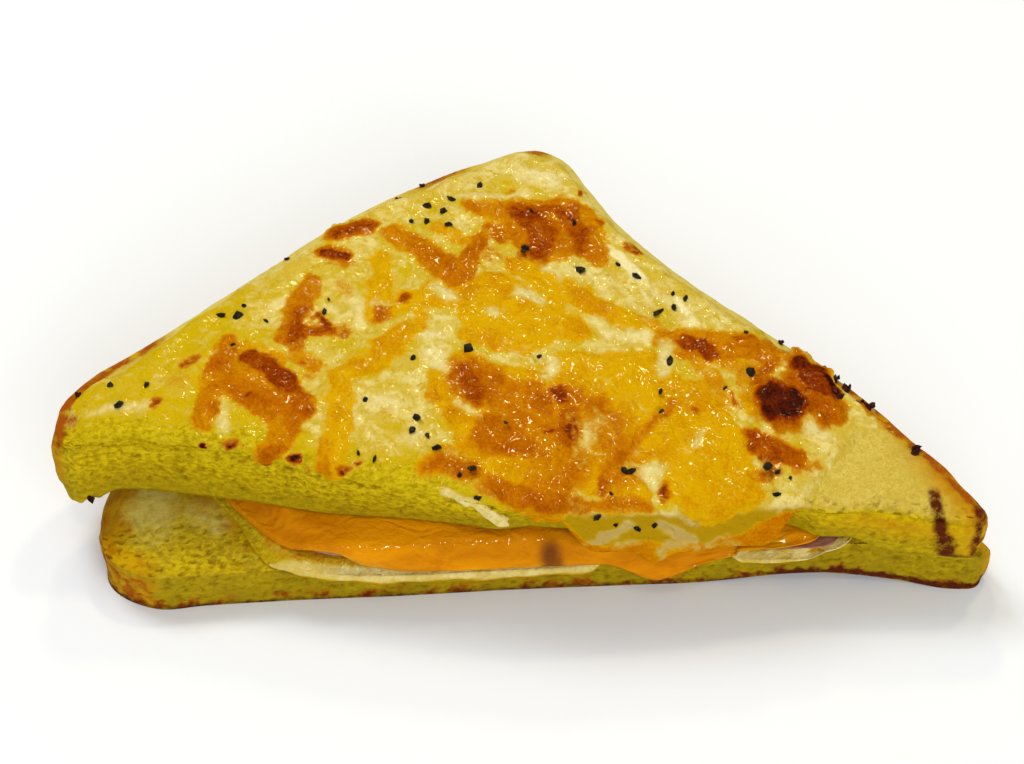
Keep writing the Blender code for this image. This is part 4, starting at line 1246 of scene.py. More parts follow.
class BaseSlice(Bread):
    """The lower slice, toasted dark below."""

    # Spots of (x, y, radius, strength) on the wedge of its upper face that shows.
    # The pale smears are also painted light in the shadow under the upper slice.
    SMEARS_AND_PAINTED_LIGHT = ((-62, -26, 10, 0.6), (-61, -31, 8, 0.35), (-53, -27, 6, 0.5), (-49.5, -30, 3.4, 0.6))
    RESIDUE = ((-57, -26, 3.6, 0.7), (-53, -26.5, 3, 0.6), (-46.5, -32, 3, 0.35))
    BUTTERED = ((-52, -24, 4.5, 0.7), (-47.5, -30, 3.0, 0.6), (-44, -34, 2.4, 0.5))

    def under(self, x: Array, y: Array) -> Array:
        """Its lower face."""
        return SHAPE.arch(x, y) + 1.0 * (1 - eased(SHAPE.base_crust.inside(x, y) / 2.5)) ** 2

    def over(self, x: Array, y: Array) -> Array:
        """Its upper face."""
        return SHAPE.base_top(x, y) - 1.0 * (1 - eased(SHAPE.base_crust.inside(x, y) / 3)) ** 2

    def build(self, finish: bpy.types.Material) -> bpy.types.Object:
        """Makes the slice.

        Args:
            finish: Its material.

        Returns:
            The piece.
        """
        s = SHAPE
        near = np.arange(0, 20, 0.5)
        lines = ((s.base_cut, s.base_crust),) * 2
        bm, points, block = self.slab(lines, (self.under, self.over), near, 0.9)
        facing = Builder.normals(bm, points)
        from_cut = points[:, 1] - s.base_cut.y_at(points[:, 0])
        move, pore_shade, near_crust = self.crumb_relief(points, block, s.base_crust, from_cut)
        w = block[:, 2]
        below = w < 0.001
        points = points + facing * np.where(below, 0.0, move)[:, None]
        points[:, 2] = np.maximum(points[:, 2], np.where(below, points[:, 2], 0.05))
        return Builder.finish(bm, "base_slice", points, self.masks(points, w, pore_shade, near_crust), finish)

    def masks(self, points: Array, w: Array, pore_shade: Array, near_crust: Array) -> dict[str, Array]:
        """How the slice is toasted and smeared.

        Args:
            points: Where its vertices are.
            w: How high each lies, from 0 on the lower face to 1 on the upper one.
            pore_shade: How deep each lies in a pore.
            near_crust: How near the crust each is.

        Returns:
            The masks of the crumb finish.
        """
        s = SHAPE
        x, y, z = points.T
        below = w < 0.001
        ragged = mottle(points, 2.4, 3, 9)
        up = z - s.arch(x, y)
        right = eased((x - 38) / 12)
        edge = eased(1.25 - up / (1.5 + 0.4 * right + 1.1 * ragged))
        band = eased(1.3 - up / 3.2) * eased(0.4 + 1.2 * ragged)
        left = eased((-58 - x - 1.5 * ragged) / 4)
        rim = np.minimum(s.base_crust.inside(x, y), s.base_cut.distance(x, y))
        side = eased((5.4 + 2.0 * ragged - rim) / 2.6) * eased((-58 - x - ragged) / 5)
        behind = np.maximum(y - s.base_cut.y_at(x), 0)
        on_top = eased((w - 0.93) / 0.07)
        # Pale smears, partly painted light where the upper slice shades the wedge.
        smear = spots(self.SMEARS_AND_PAINTED_LIGHT, x, y)
        residue = spots(self.RESIDUE, x, y)
        stain = spots(self.BUTTERED, x, y) * on_top
        end = left * eased((9.0 - z) / 3)
        fresh = 1 - 0.7 * left * eased((z - 6.5) / 2)
        crust = np.maximum.reduce([near_crust, end, 0.9 * side * on_top, stain])
        return {
            "face": 0.15 * on_top * (1 - near_crust),
            "crust": np.clip(crust * eased((z + 1) / 3), 0, 1),
            "toast": strongest(
                0.75 * band * (1 - on_top), 0.6 * near_crust * eased(0.35 + ragged) * fresh,
                0.45 * residue * on_top, 0.6 * end * eased(0.6 + ragged),
                0.5 * side * eased(0.5 + ragged) * fresh),
            "grill": np.where(below, 0.55 + 0.35 * np.sin(x * 0.55), (0.6 + 0.4 * right) * edge),
            # Painted shade deep in the pores of the cut.
            "pore_shade": pore_shade * (1 - near_crust),
            "shade": (1.0 - 0.1 * w) * (1 - on_top) + 0.3 * on_top * eased(1 - behind / 4),
            "smear": smear * on_top,
            "soaked": 0.7 * on_top * eased(0.5 + mottle(points, 5, 3, 17)),
        }


class UpperSlice(Bread):
    """The upper slice, bare at its right-hand end."""

    # Browned spots of (x, y, radius, strength) on the cut and on the upper face.
    TANNED = ((60.5, -38, 2.6, 0.6), (63, -38, 2.6, 0.7), (66, -38, 2.0, 0.5))
    LEFT_TANNED = ((-75.5, -20.5, 2.6, 0.6), (-73, -21.5, 2.8, 0.7), (-70.5, -22, 2.2, 0.5))

    def cut_line(self, lean: float) -> Outline:
        """The cut line, moved back by the flow of sauce and by how far the cut leans.

        Args:
            lean: How far it leans.

        Returns:
            The moved line.
        """
        x = SHAPE.top_cut.points[:, 0]
        ends = np.minimum(1, np.minimum(x - x[0], x[-1] - x) / 6)
        back = SHAPE.kept_back(x) + lean * eased((x + 48) / 40) * eased((66 - x) / 30)
        return SHAPE.top_cut.moved_back(back * eased(ends))

    def under(self, x: Array, y: Array) -> Array:
        """Its lower face, torn at the left end."""
        torn = eased((-66.5 - x) / 4) * (1.9 + 1.6 * mottle(plan_points(x, y), 3, 3, 24))
        return SHAPE.crumb_under(x, y) - torn

    def grill_lines(self, x: Array, y: Array, z: Array, ragged: Array) -> tuple[Array, Array]:
        """The two scorched lines across the bare right-hand end.

        Args:
            x: Places.
            y: Places.
            z: Places.
            ragged: How much their edges shake at each.

        Returns:
            How strongly each place lies on the first and on the second.
        """
        line = 72.8 - 0.32 * (z - 12) + 0.2 * ragged
        width = np.clip(2.2 + 0.24 * (18 - z), 1.8, 4.4) * (1 + 0.25 * ragged)
        first = 0.85 * eased(1.1 * (1 - np.abs(x - line) / width)) * eased((-30.5 - y) / 3)
        first = first * eased((z - 6) / 2.5)
        second = hump(x, 77.6 + 0.5 * ragged, 2.2) * eased((z - 7.5) / 2) * eased((-29 - y) / 2)
        return first, second

    def build(self, finish: bpy.types.Material) -> bpy.types.Object:
        """Makes the slice.

        Args:
            finish: Its material.

        Returns:
            The piece.
        """
        s = SHAPE
        near = np.arange(0, 16, 0.45)
        lines = ((self.cut_line(3.2), s.top_crust), (self.cut_line(0), s.top_crust))
        bm, points, block = self.slab(lines, (self.under, s.crumb_top), near, 0.8)
        x, y, z = points.T
        cut = block[:, 1] < 0.001
        from_cut = y - s.top_cut.y_at(x)
        below = s.crumb_top(x, y) - z
        drop = eased((x - 44) / 16)
        points = self.rounded(points, cut, below, from_cut, 2.3 + 1.9 * drop)
        bent = drop * eased(1.2 - np.maximum(below, 0) / 7.5) * cut
        facing = Builder.normals(bm, points)
        move, pore_shade, near_crust = self.crumb_relief(points, block, s.top_crust, from_cut)
        points = points + facing * (move * (1 - 0.75 * bent))[:, None]
        x, y, z = points.T
        w = block[:, 2]
        ragged = mottle(points, 2.4, 3, 9)
        depth = s.top_crust.inside(x, y)
        on_top = eased((w - 0.93) / 0.07)
        shown = np.maximum.reduce([
            eased((-57 - x) / 6), hump(x, -13, 10), hump(x, 4.5, 4), eased((x - 52) / 8)])
        pale = (1 - shown) * eased((w - 0.5) / 0.3) * eased(1 - depth / 6) * ~cut
        rim = eased(1 - np.abs(depth - 0.8) / 2.4) * eased((w - 0.6) / 0.2) * shown
        right = eased((x - 60) / 12) * eased(1.35 - np.maximum(depth, 0) / 6)
        side = eased((x - 34) / 20) * eased(1 - depth / (3.4 + 2.6 * hump(x, 62, 10)))
        stripe, second = self.grill_lines(x, y, z, ragged)
        tan = spots(self.TANNED, x, y) * hump(below, 3.0, 3.4)
        left_tan = spots(self.LEFT_TANNED, x, y) * on_top
        soaked = np.maximum(0.9 * eased(1 - np.maximum(below, 0) / 4.5) * cut * (1 - 0.5 * drop),
                            0.8 * on_top * eased(1 - from_cut / 5) * eased(0.7 + mottle(points, 5, 3, 17)))
        crust = strongest(near_crust, 0.95 * right, 0.85 * bent * eased((below - 0.8) / 2.5))
        masks = {
            "face": on_top * (1 - near_crust) * eased((from_cut - 3 * eased((48 - x) / 6)) / 1.5),
            "crust": crust * (1 - 0.85 * pale),
            "toast": strongest(
                0.9 * rim * eased(0.85 + ragged), 0.45 * side * eased(0.7 + ragged) * (1 - pale),
                0.3 * right * eased(0.5 + ragged), tan, left_tan, 0.35 * stripe),
            "grill": strongest(stripe, 0.8 * second) * eased(0.95 + 0.5 * ragged),
            # Painted shade deep in the pores of the cut.
            "pore_shade": pore_shade * (1 - near_crust) * (1 - bent),
            "shade": (1 - on_top) * eased(1.15 - 1.5 * w) * 0.7,
            "smear": 0.85 * pale,
            "soaked": soaked * eased((56 - x) / 10),
        }
        return Builder.finish(bm, "upper_slice", points, masks, finish)


class Filling(Slab):
    """What the layers between the slices share. Each has its own outline, faces, relief and masks."""

    COLUMNS = 300
    REST_ROWS = 8
    LAYERS = 6
    NAME: str
    FRONT: Outline
    BACK: Outline

    def under(self, x: Array, y: Array) -> Array:
        """Its lower face."""
        raise NotImplementedError

    def over(self, x: Array, y: Array) -> Array:
        """Its upper face."""
        raise NotImplementedError

    def relief(self, points: Array) -> Array:
        """How far each vertex moves out."""
        raise NotImplementedError

    def masks(self, points: Array, height: Array) -> dict[str, Array]:
        """What the material reads.

        Args:
            points: Where the vertices are.
            height: How high each lies in the layer, from 0 to 1.

        Returns:
            Numbers for each vertex, by name.
        """
        return {}

    def build(self, finish: bpy.types.Material) -> bpy.types.Object:
        """Makes the layer.

        Args:
            finish: Its material.

        Returns:
            The piece.
        """
        near = np.concatenate([np.arange(0, 5, 0.25), np.arange(5, 14, 0.7)])
        lines = ((self.FRONT, self.BACK),) * 2
        bm, points, block = self.slab(lines, (self.under, self.over), near, 0.0)
        facing = Builder.normals(bm, points)
        lip = np.sin(np.pi * block[:, 2]) * (block[:, 1] < 0.001)
        points = points + facing * (self.relief(points) + 0.3 * lip)[:, None]
        return Builder.finish(bm, self.NAME, points, self.masks(points, block[:, 2]), finish)


class LowerSauce(Filling):
    """White sauce on the lower slice, squeezed out at the cut."""

    NAME = "lower_sauce"
    FRONT = Outline((
        (-58, -17), (-53, -22), (-48.5, -26.5), (-45.5, -31), (-43, -35.5), (-40, -38.8), (-35, -40.2),
        (-27, -40.6), (-10, -39.4), (2, -38.6), (13, -37.6), (17, -35.7), (26, -35), (35, -35), (39, -36.6),
        (45, -37.1), (52, -37), (55.5, -35.8), (58, -32.5), (58.5, -30)))
    BACK = Outline((
        (-58, -17), (-54, -9), (-40, 3), (-22, 18), (-8, 28), (0, 31.5), (7, 28), (18, 14), (34, -2),
        (50, -18), (57, -26), (58.5, -30)))

    def under(self, x: Array, y: Array) -> Array:
        """Its lower face, which sags over the cut of the base."""
        (floor, _), _, _ = SHAPE.filling(x, y)
        wave = 0.5 * np.sin(0.55 * x + 1.0) * np.sin(0.21 * x)
        sag = (1.5 + wave) * eased((SHAPE.overhang(x, y) - 0.45) / 0.9) * eased((53 - x) / 5)
        sunk = 0.9 * eased(1 - self.FRONT.distance(x, y) / 4) * eased((-36 - x) / 6)
        return floor - np.maximum(sag, 0) - sunk

    def over(self, x: Array, y: Array) -> Array:
        """Its upper face."""
        (_, top), _, _ = SHAPE.filling(x, y)
        lip = eased((SHAPE.overhang(x, y) + 1) / 3)
        sunk = 1.3 * eased(1 - self.FRONT.distance(x, y) / 4) * eased((-36 - x) / 6)
        return np.maximum(top - 1.2 * lip - sunk, self.under(x, y) + 0.4)

    def relief(self, points: Array) -> Array:
        """Soft lumps."""
        return 0.12 * mottle(points, 4, 3, 5) - 0.1

    def masks(self, points: Array, height: Array) -> dict[str, Array]:
        """Soaked yellow behind and low down, pale along the lip."""
        x, y, _ = points.T
        ragged = 0.6 * mottle(points, 3, 3, 8)
        behind = eased((self.FRONT.distance(x, y) - 1.3) / 0.8 + ragged) * eased((height - 0.6) / 0.3)
        low = np.maximum(eased(1.5 - 3.2 * height + ragged), behind)
        lip = eased((SHAPE.overhang(x, y) + 1.5) / 1.5) * eased((x + 47) / 6) * (1 - low)
        butter_and_hollow_shade = 0.9 - 0.7 * lip + 0.3 * mottle(points, 5, 3, 6)
        return {
            "crumb": 0.9 * (1 - lip),
            "brown": 0.1 + 0.16 * low,
            "butter_and_hollow_shade": np.clip(butter_and_hollow_shade, 0, 1),
            "white": 0.35 * lip,
        }


class Ham(Filling):
    """The ham."""

    NAME = "ham_slice"
    FRONT = Outline((
        (-50, -20), (-46, -26), (-38, -34.5), (-30, -37.8), (-10, -36.9), (5, -35.9), (20, -34.5),
        (34, -34.3), (40, -35.9), (48, -36.1), (53, -35.9), (56, -33), (56.5, -30.5)))
    BACK = Outline((
        (-50, -20), (-40, -8), (-22, 8), (-6, 20), (1, 24), (8, 20), (20, 6), (36, -10), (49, -21),
        (56.5, -30.5)))

    def under(self, x: Array, y: Array) -> Array:
        """Its lower face."""
        _, (floor, _), _ = SHAPE.filling(x, y)
        return floor

    def over(self, x: Array, y: Array) -> Array:
        """Its upper face."""
        _, (_, top), _ = SHAPE.filling(x, y)
        return top

    def relief(self, points: Array) -> Array:
        """The grain of the meat."""
        return 0.1 * mottle(points, 2.5, 3, 7) - 0.08


class CheddarSlice(Filling):
    """The slice of cheddar, melted so that it hangs out along the cut."""

    NAME = "melted_cheddar_slice"
    FRONT = Outline((
        (-53, -18), (-50.5, -22.5), (-47.5, -26.8), (-44.5, -30.2), (-41, -33.6), (-37, -36.6), (-31, -38.6),
        (-23, -40), (-10, -40.4), (3, -39.6), (15, -38.9), (24, -39.6), (31, -38.6), (38, -37.4), (46, -36.6),
        (51.5, -34.5), (53, -31)))
    BACK = Outline((
        (-53, -18), (-50, -11), (-40, -2), (-24, 12), (-8, 24), (0, 28), (6, 25), (16, 12), (30, -2),
        (44, -16), (52, -26), (53, -31)))

    # Spots of (x, y, radius, strength) where ham shows through.
    OVER_HAM = ((6.4, -38.6, 2.8, 0.9), (7.4, -39.2, 2.0, 0.8))

    def under(self, x: Array, y: Array) -> Array:
        """Its lower face, which sags over the ham and has one drip."""
        _, (ham_floor, _), (floor, _) = SHAPE.filling(x, y)
        past = SHAPE.overhang(x, y)
        drip = 3.2 * hump(x, SHAPE.drip_x, 9) * eased((past - 1) / 1.4)
        sag = (floor - ham_floor) * eased((past - 0.4) / 1.2) + drip
        return floor - np.where(x < 38, sag, 0) - self.settled(x, y)

    def settled(self, x: Array, y: Array) -> Array:
        """How far its left-hand rim has sunk onto the bread."""
        return 2.4 * eased(1 - self.FRONT.distance(x, y) / 4.5) * eased((-30 - x) / 10)

    def over(self, x: Array, y: Array) -> Array:
        """Its upper face, which falls towards its lip."""
        _, _, (_, top) = SHAPE.filling(x, y)
        fall = 0.22 * np.maximum(SHAPE.overhang(x, y) + 1, 0) ** 2
        return np.maximum(top - fall - self.settled(x, y), self.under(x, y) + 0.5)

    def relief(self, points: Array) -> Array:
        """Folds and small creases of the skin."""
        folds = 0.35 * mottle(points * (0.6, 1, 1), 6, 3, 8)
        return (folds - 0.2) * eased((SHAPE.overhang(points[:, 0], points[:, 1]) + 6) / 6)

    def masks(self, points: Array, height: Array) -> dict[str, Array]:
        """Deeper orange low down and in clouds, and dull where ham lies close below."""
        x, y, z = points.T
        deep = 0.3 + 0.5 * eased((9 - z) / 4) + 0.5 * mottle(points * (0.5, 1, 1), 7, 3, 2)
        return {"deep": np.clip(deep, 0, 1), "ham": spots(self.OVER_HAM, x, y)}


class Topping:
    """What the sauce, the cheddar and the specks on them share: where they lie, relief and colouring."""

    def sauce_field(self, x: Array, y: Array) -> Array:
        """How far a point is inside the outline of the sauce."""
        s = SHAPE
        rim = 1.2 + 1.8 * hump(x, -68, 22) + 1.6 * hump(x, -10, 14)
        hang = 10.4 * eased((x - 4) / 10) * eased((49 - x) / 7) + 3.0 * hump(x, s.drip_x, 4.5)
        front = y - s.top_cut.y_at(x) - 1.6 + 1.8 * s.flow(x) + hang
        return np.minimum.reduce([s.top_crust.inside(x, y) - rim, front, s.beyond_bare(x, y), x + 71])

    def skin_field(self, x: Array, y: Array) -> Array:
        """How far a point is inside the skin, which thins out from the sauce to the edges of the bread."""
        s = SHAPE
        wx, wy = self.warp(x, y)
        bare = np.maximum.reduce([1.6 * eased((-56 - x) / 8), 1.4 * hump(x, -13, 10), 1.2 * hump(x, 4.5, 4)])
        spread = np.minimum.reduce([
            s.top_crust.inside(x, y) - 0.2 - bare - 0.3 * (wx - x), y - s.top_cut.y_at(x) + 1.5,
            x + 74 + wy - y, s.beyond_bare(wx, wy) - 0.5])
        return np.maximum.reduce([self.sauce_field(x, y), spread, stroke_field((STRIP,), wx, wy)])

    def warp(self, x: Array, y: Array) -> tuple[Array, Array]:
        """Shakes places a little, so that drawn edges come out uneven."""
        at = plan_points(x, y)
        return x + 0.9 * mottle(at, 3.2, 4, 11), y + 0.9 * mottle(at, 3.2, 4, 12)

    def relief(self, x: Array, y: Array) -> Array:
        """Soft wrinkles and blisters of the sauce, most of them below its smooth form."""
        at = plan_points(x, y)
        wrinkle = 1 - np.abs(mottle(at * (1, 1.4, 1), 6, 3, 21))
        streak = self.folds(x, y) * eased((x - 8) / 8)
        blister = eased(1 - 2.4 * cells(at, 5.5, 5)) * eased(0.5 + mottle(at, 14, 2, 6))
        curd = mottle(at, 1.6, 3, 23)
        ridge = 1 - 2 * np.abs(mottle(at * (1, 0.8, 1), 3.0, 2, 27))
        return 0.45 * (wrinkle - 1) + 0.22 * blister + 0.32 * streak + 0.12 * ridge + 0.08 * curd - 0.5

    def folds(self, x: Array, y: Array) -> Array:
        """Folds of thick sauce that run down along the right-hand crust, about -1 to 1."""
        along, across = 0.6 * x - 0.8 * y, 0.8 * x + 0.6 * y
        streaked = np.column_stack([along, 3.2 * across, np.zeros(len(x))])
        near = eased(1 - np.abs(SHAPE.top_crust.inside(x, y) - 6) / 7)
        near = near * eased((x - 8) / 8) * eased((46 - x) / 12)
        return near * mottle(streaked, 9, 3, 22)

    def nearest_cheddar(self, x: Array, y: Array) -> tuple[Array, Array]:
        """The patch of cheddar that is nearest to each point.

        Args:
            x: Places.
            y: Places.

        Returns:
            How far each point is inside the patch, below 0 outside it, and how far the oven has browned it.
        """
        depth, bake = np.full(len(x), FAR_OUTSIDE), np.zeros(len(x))
        for patch in PATCHES:
            here = stroke_field(patch.strokes, x, y)
            bake = np.where(here > depth, patch.bake.value, bake)
            depth = np.maximum(depth, here)
        return depth, bake

    def melt(self, x: Array, y: Array) -> Array:
        """How far a point is inside the nearest cheddar, below 0 outside it."""
        return self.nearest_cheddar(x, y)[0]

    def browned(self, x: Array, y: Array, fine: Array) -> Array:
        """How dark the scorched places are.

        Args:
            x: Places.
            y: Places.
            fine: How much their edges shake at each.

        Returns:
            From 0 to 1 for each place.
        """
        brown = np.zeros(len(x))
        for scorch in BROWNED:
            here = stroke_field((scorch.stroke,), x, y)
            brown = np.maximum(brown, scorch.dark * eased((here + fine + scorch.soft / 2) / scorch.soft))
        return brown

    def low_cheddar(self, x: Array, y: Array, past: Array) -> Array:
        """How surely cheddar shows low on the flow of sauce and along its lower edge.

        Args:
            x: Places.
            y: Places.
            past: How far each lies down the front.

        Returns:
            From 0 to 1 for each place.
        """
        ragged = mottle(plan_points(x, y), 4, 2, 18)
        low = eased((past - 6.5 + 5 * eased((x - 36) / 8) + ragged) / 1.6) * eased((x - 4) / 6)
        edge = eased((2.6 + ragged - self.sauce_field(x, y)) / 1.4) * eased((past - 1) / 1.5)
        return np.maximum(low, edge * eased((x + 6) / 4))

    def colouring(self, x: Array, y: Array) -> dict[str, Array]:
        """How the oven has coloured each point of the topping, with painted shade in the hollows of its
        relief.

        Args:
            x: Places.
            y: Places.

        Returns:
            The masks of the baked finish.
        """
        s = SHAPE
        wx, wy = self.warp(x, y)
        at = plan_points(x, y)
        behind = y - s.top_cut.y_at(x)
        past = s.top_cut.y_at(x) - wy
        strip = eased((stroke_field((STRIP,), wx, wy) + 0.8) / 1.2)
        under = self.low_cheddar(x, y, past) * (1 - strip)
        depth, bake = self.nearest_cheddar(wx, wy)
        depth = np.maximum(depth, 3 * under - 1.5)
        stained = stroke_field(STAINED, wx, wy)
        bake = np.where(stained > depth, Bake.STAINED.value, bake)
        depth = np.maximum(depth, np.minimum(stained, 0.2))
        bake = bake + 0.13 * mottle(at, 8, 3, 16) + 0.06 * eased(depth / 3) - 0.04 + 0.2 * under
        shown = eased((stroke_field(CREAM, wx, wy) + 1.4) / 2.8)
        cheese = eased((depth + 1.0) / 1.7) * (1 - 0.95 * shown)
        scorched = self.browned(wx, wy, 0.3 * mottle(at, 1.0, 3, 34))
        tan = 0.12 * eased(2.4 * (mottle(at, 5, 4, 19) - 0.12)) * eased((-0.5 - depth) / 2)
        tan = tan * eased((y + 22) / 16)
        patchy = mottle(at, 6, 3, 15)
        ends = np.maximum(eased((-4 - x) / 8), eased((x - 48) / 4))
        crumb = eased(1.3 - behind / 5 + 0.5 * patchy) * ends
        front = eased(1 - behind / 9) * eased((2 - x) / 14)
        # Painted shade: the hollows of the relief take more of the darker butter yellow.
        deep = 0.5 * eased(-1.6 * (self.relief(x, y) + 0.55))
        left = 0.5 * eased((-32 - x) / 26)
        butter_and_hollow_shade = 0.6 * eased(1 + depth / 4.0) + 1.1 * front + left + 0.35 * patchy + deep
        thick = 0.5 * eased((stroke_field(WHITE, wx, wy) + 1.6) / 3.4)
        white = np.maximum.reduce([0.5 * shown, thick, 0.5 * strip]) + 0.6 * eased(1.5 * self.folds(x, y))
        white = np.clip(white, 0, 1)
        runs = eased((past + 0.5) / 2) * eased((x + 2) / 8)
        pink = 0.95 * eased((stroke_field(RUNS, wx, wy) + 0.8) / 1.6) * runs
        return {
            "cheese": cheese * (1 - 0.9 * pink),
            "crumb": np.clip(crumb * (1 - strip), 0, 1),
            "thin": np.clip(runs * (1 - pink) * (1 - strip), 0, 1),
            "brown": strongest(scorched, tan, bake * cheese),
            "butter_and_hollow_shade": np.clip(butter_and_hollow_shade * (1 - 0.8 * white), 0, 1),
            "white": white,
            "pink": np.clip(pink, 0, 1),
        }


class BakedSauce(Topping):
    """The skin of white sauce on the upper slice."""

    CELL = 0.42
    BLEND = 3.0

    def build(self, finish: bpy.types.Material) -> bpy.types.Object:
        """Makes the skin.

        Args:
            finish: Its material.

        Returns:
            The piece.
        """
        s = SHAPE
        bm = Builder.layer((-75, 66), (-15, 84), self.CELL, self.skin_field, 0.0)
        at = Builder.places(bm)
        x, y, upper = at[:, 0], at[:, 1], at[:, 2] > 0.5
        inside = self.skin_field(x, y)
        runs = np.maximum(eased((x + 3) / 5), eased(stroke_field((STRIP,), *self.warp(x, y)) + 1))
        past_cut = eased((s.top_cut.y_at(x) + 1.0 - y) / 1.5) * runs * eased((55 - x) / 4)
        tucked = y - s.top_cut.y_at(x) + 1.5
        edge = eased(1.5 - (tucked - inside) / 0.5)
        tuck = np.clip(inside / 1.5, 0, 1)
        spread = eased(inside / self.BLEND)
        rim = spread + (tuck - spread) * edge
        sunk = -(s.skin + s.roll(x, y) + 0.3) * (1 - spread) * (1 - edge) - 0.9 * (1 - tuck) ** 2 * edge
        hanging = -1.1 * (1 - np.sqrt(np.clip(inside / 1.6, 0, 1)))
        surface = sunk * (1 - past_cut) + hanging * past_cut + self.relief(x, y) * rim
        floor = -(s.skin + 0.1) - (s.roll(x, y) + 0.5) * (1 - spread) * (1 - edge) * (1 - past_cut)
        floor = np.where(past_cut > 0.5, s.gap - s.skin, floor)
        masks = self.colouring(x, y)
        pores = eased(3.0 * (mottle(plan_points(x, y) * (0.8, 1, 1), 1.1, 3, 2) - 0.2))
        surface = surface - 0.24 * pores * masks["crumb"]
        points = s.draped(x, y, np.where(upper, surface, np.minimum(floor, surface - 0.05)))
        return Builder.finish(bm, "baked_sauce", points, masks, finish)


class CheddarPatch(Topping):
    """One patch of melted cheddar on the sauce."""

    CELL = 0.36
    SUNK = 0.5
    MARGIN = 2.5

    def __init__(self, patch: Patch) -> None:
        """Takes the patch that it makes.

        Args:
            patch: Where it lies and how far it is baked.
        """
        self.patch = patch

    def inside(self, x: Array, y: Array) -> Array:
        """How far a point is inside the patch, kept apart from the patches before it."""
        wx, wy = self.warp(x, y)
        depth = stroke_field(self.patch.strokes, wx, wy)
        for other in PATCHES:
            if other.node == self.patch.node:
                break
            depth = np.minimum(depth, 0.1 - stroke_field(other.strokes, wx, wy))
        return depth

    def build(self, finish: bpy.types.Material) -> bpy.types.Object:
        """Makes the patch.

        Args:
            finish: Its material.

        Returns:
            The piece.
        """
        s = SHAPE
        at = np.array([point for stroke in self.patch.strokes for point in stroke])
        reach = at[:, 2] + self.MARGIN
        behind = at[:, 1] - s.top_cut.y_at(at[:, 0])
        x_range = ((at[:, 0] - reach).min(), (at[:, 0] + reach).max())
        y_range = ((behind - reach).min() - 2, (behind + reach).max() + 2)
        bm = Builder.layer(x_range, y_range, self.CELL, self.inside, -self.SUNK)
        spot = Builder.places(bm)
        x, y, upper = spot[:, 0], spot[:, 1], spot[:, 2] > 0.5
        depth = self.inside(x, y)
        plan = plan_points(x, y)
        rim = eased((depth + self.SUNK) / 2.4)
        thick = self.patch.thickness
        height = (0.15 + 0.32 * thick + 0.4 * max(thick - 1.6, 0)) * rim - 0.15
        shreds = 1 - np.abs(mottle(plan, 3.6, 2, 31)) * 1.5
        surface = height + rim * (0.16 * shreds - 0.08 + 0.05 * mottle(plan, 1.1, 3, 32))
        points = s.draped(x, y, self.relief(x, y) + np.where(upper, surface, -0.6))
        name = self.patch.node.replace("cheddar_melt", "melted_cheddar")
        return Builder.finish(bm, name, points, self.colouring(x, y), finish)


@dataclass(frozen=True)
class Throw:
    """Bits thrown at one place."""

    x: float
    y: float
    reach: float
    count: int


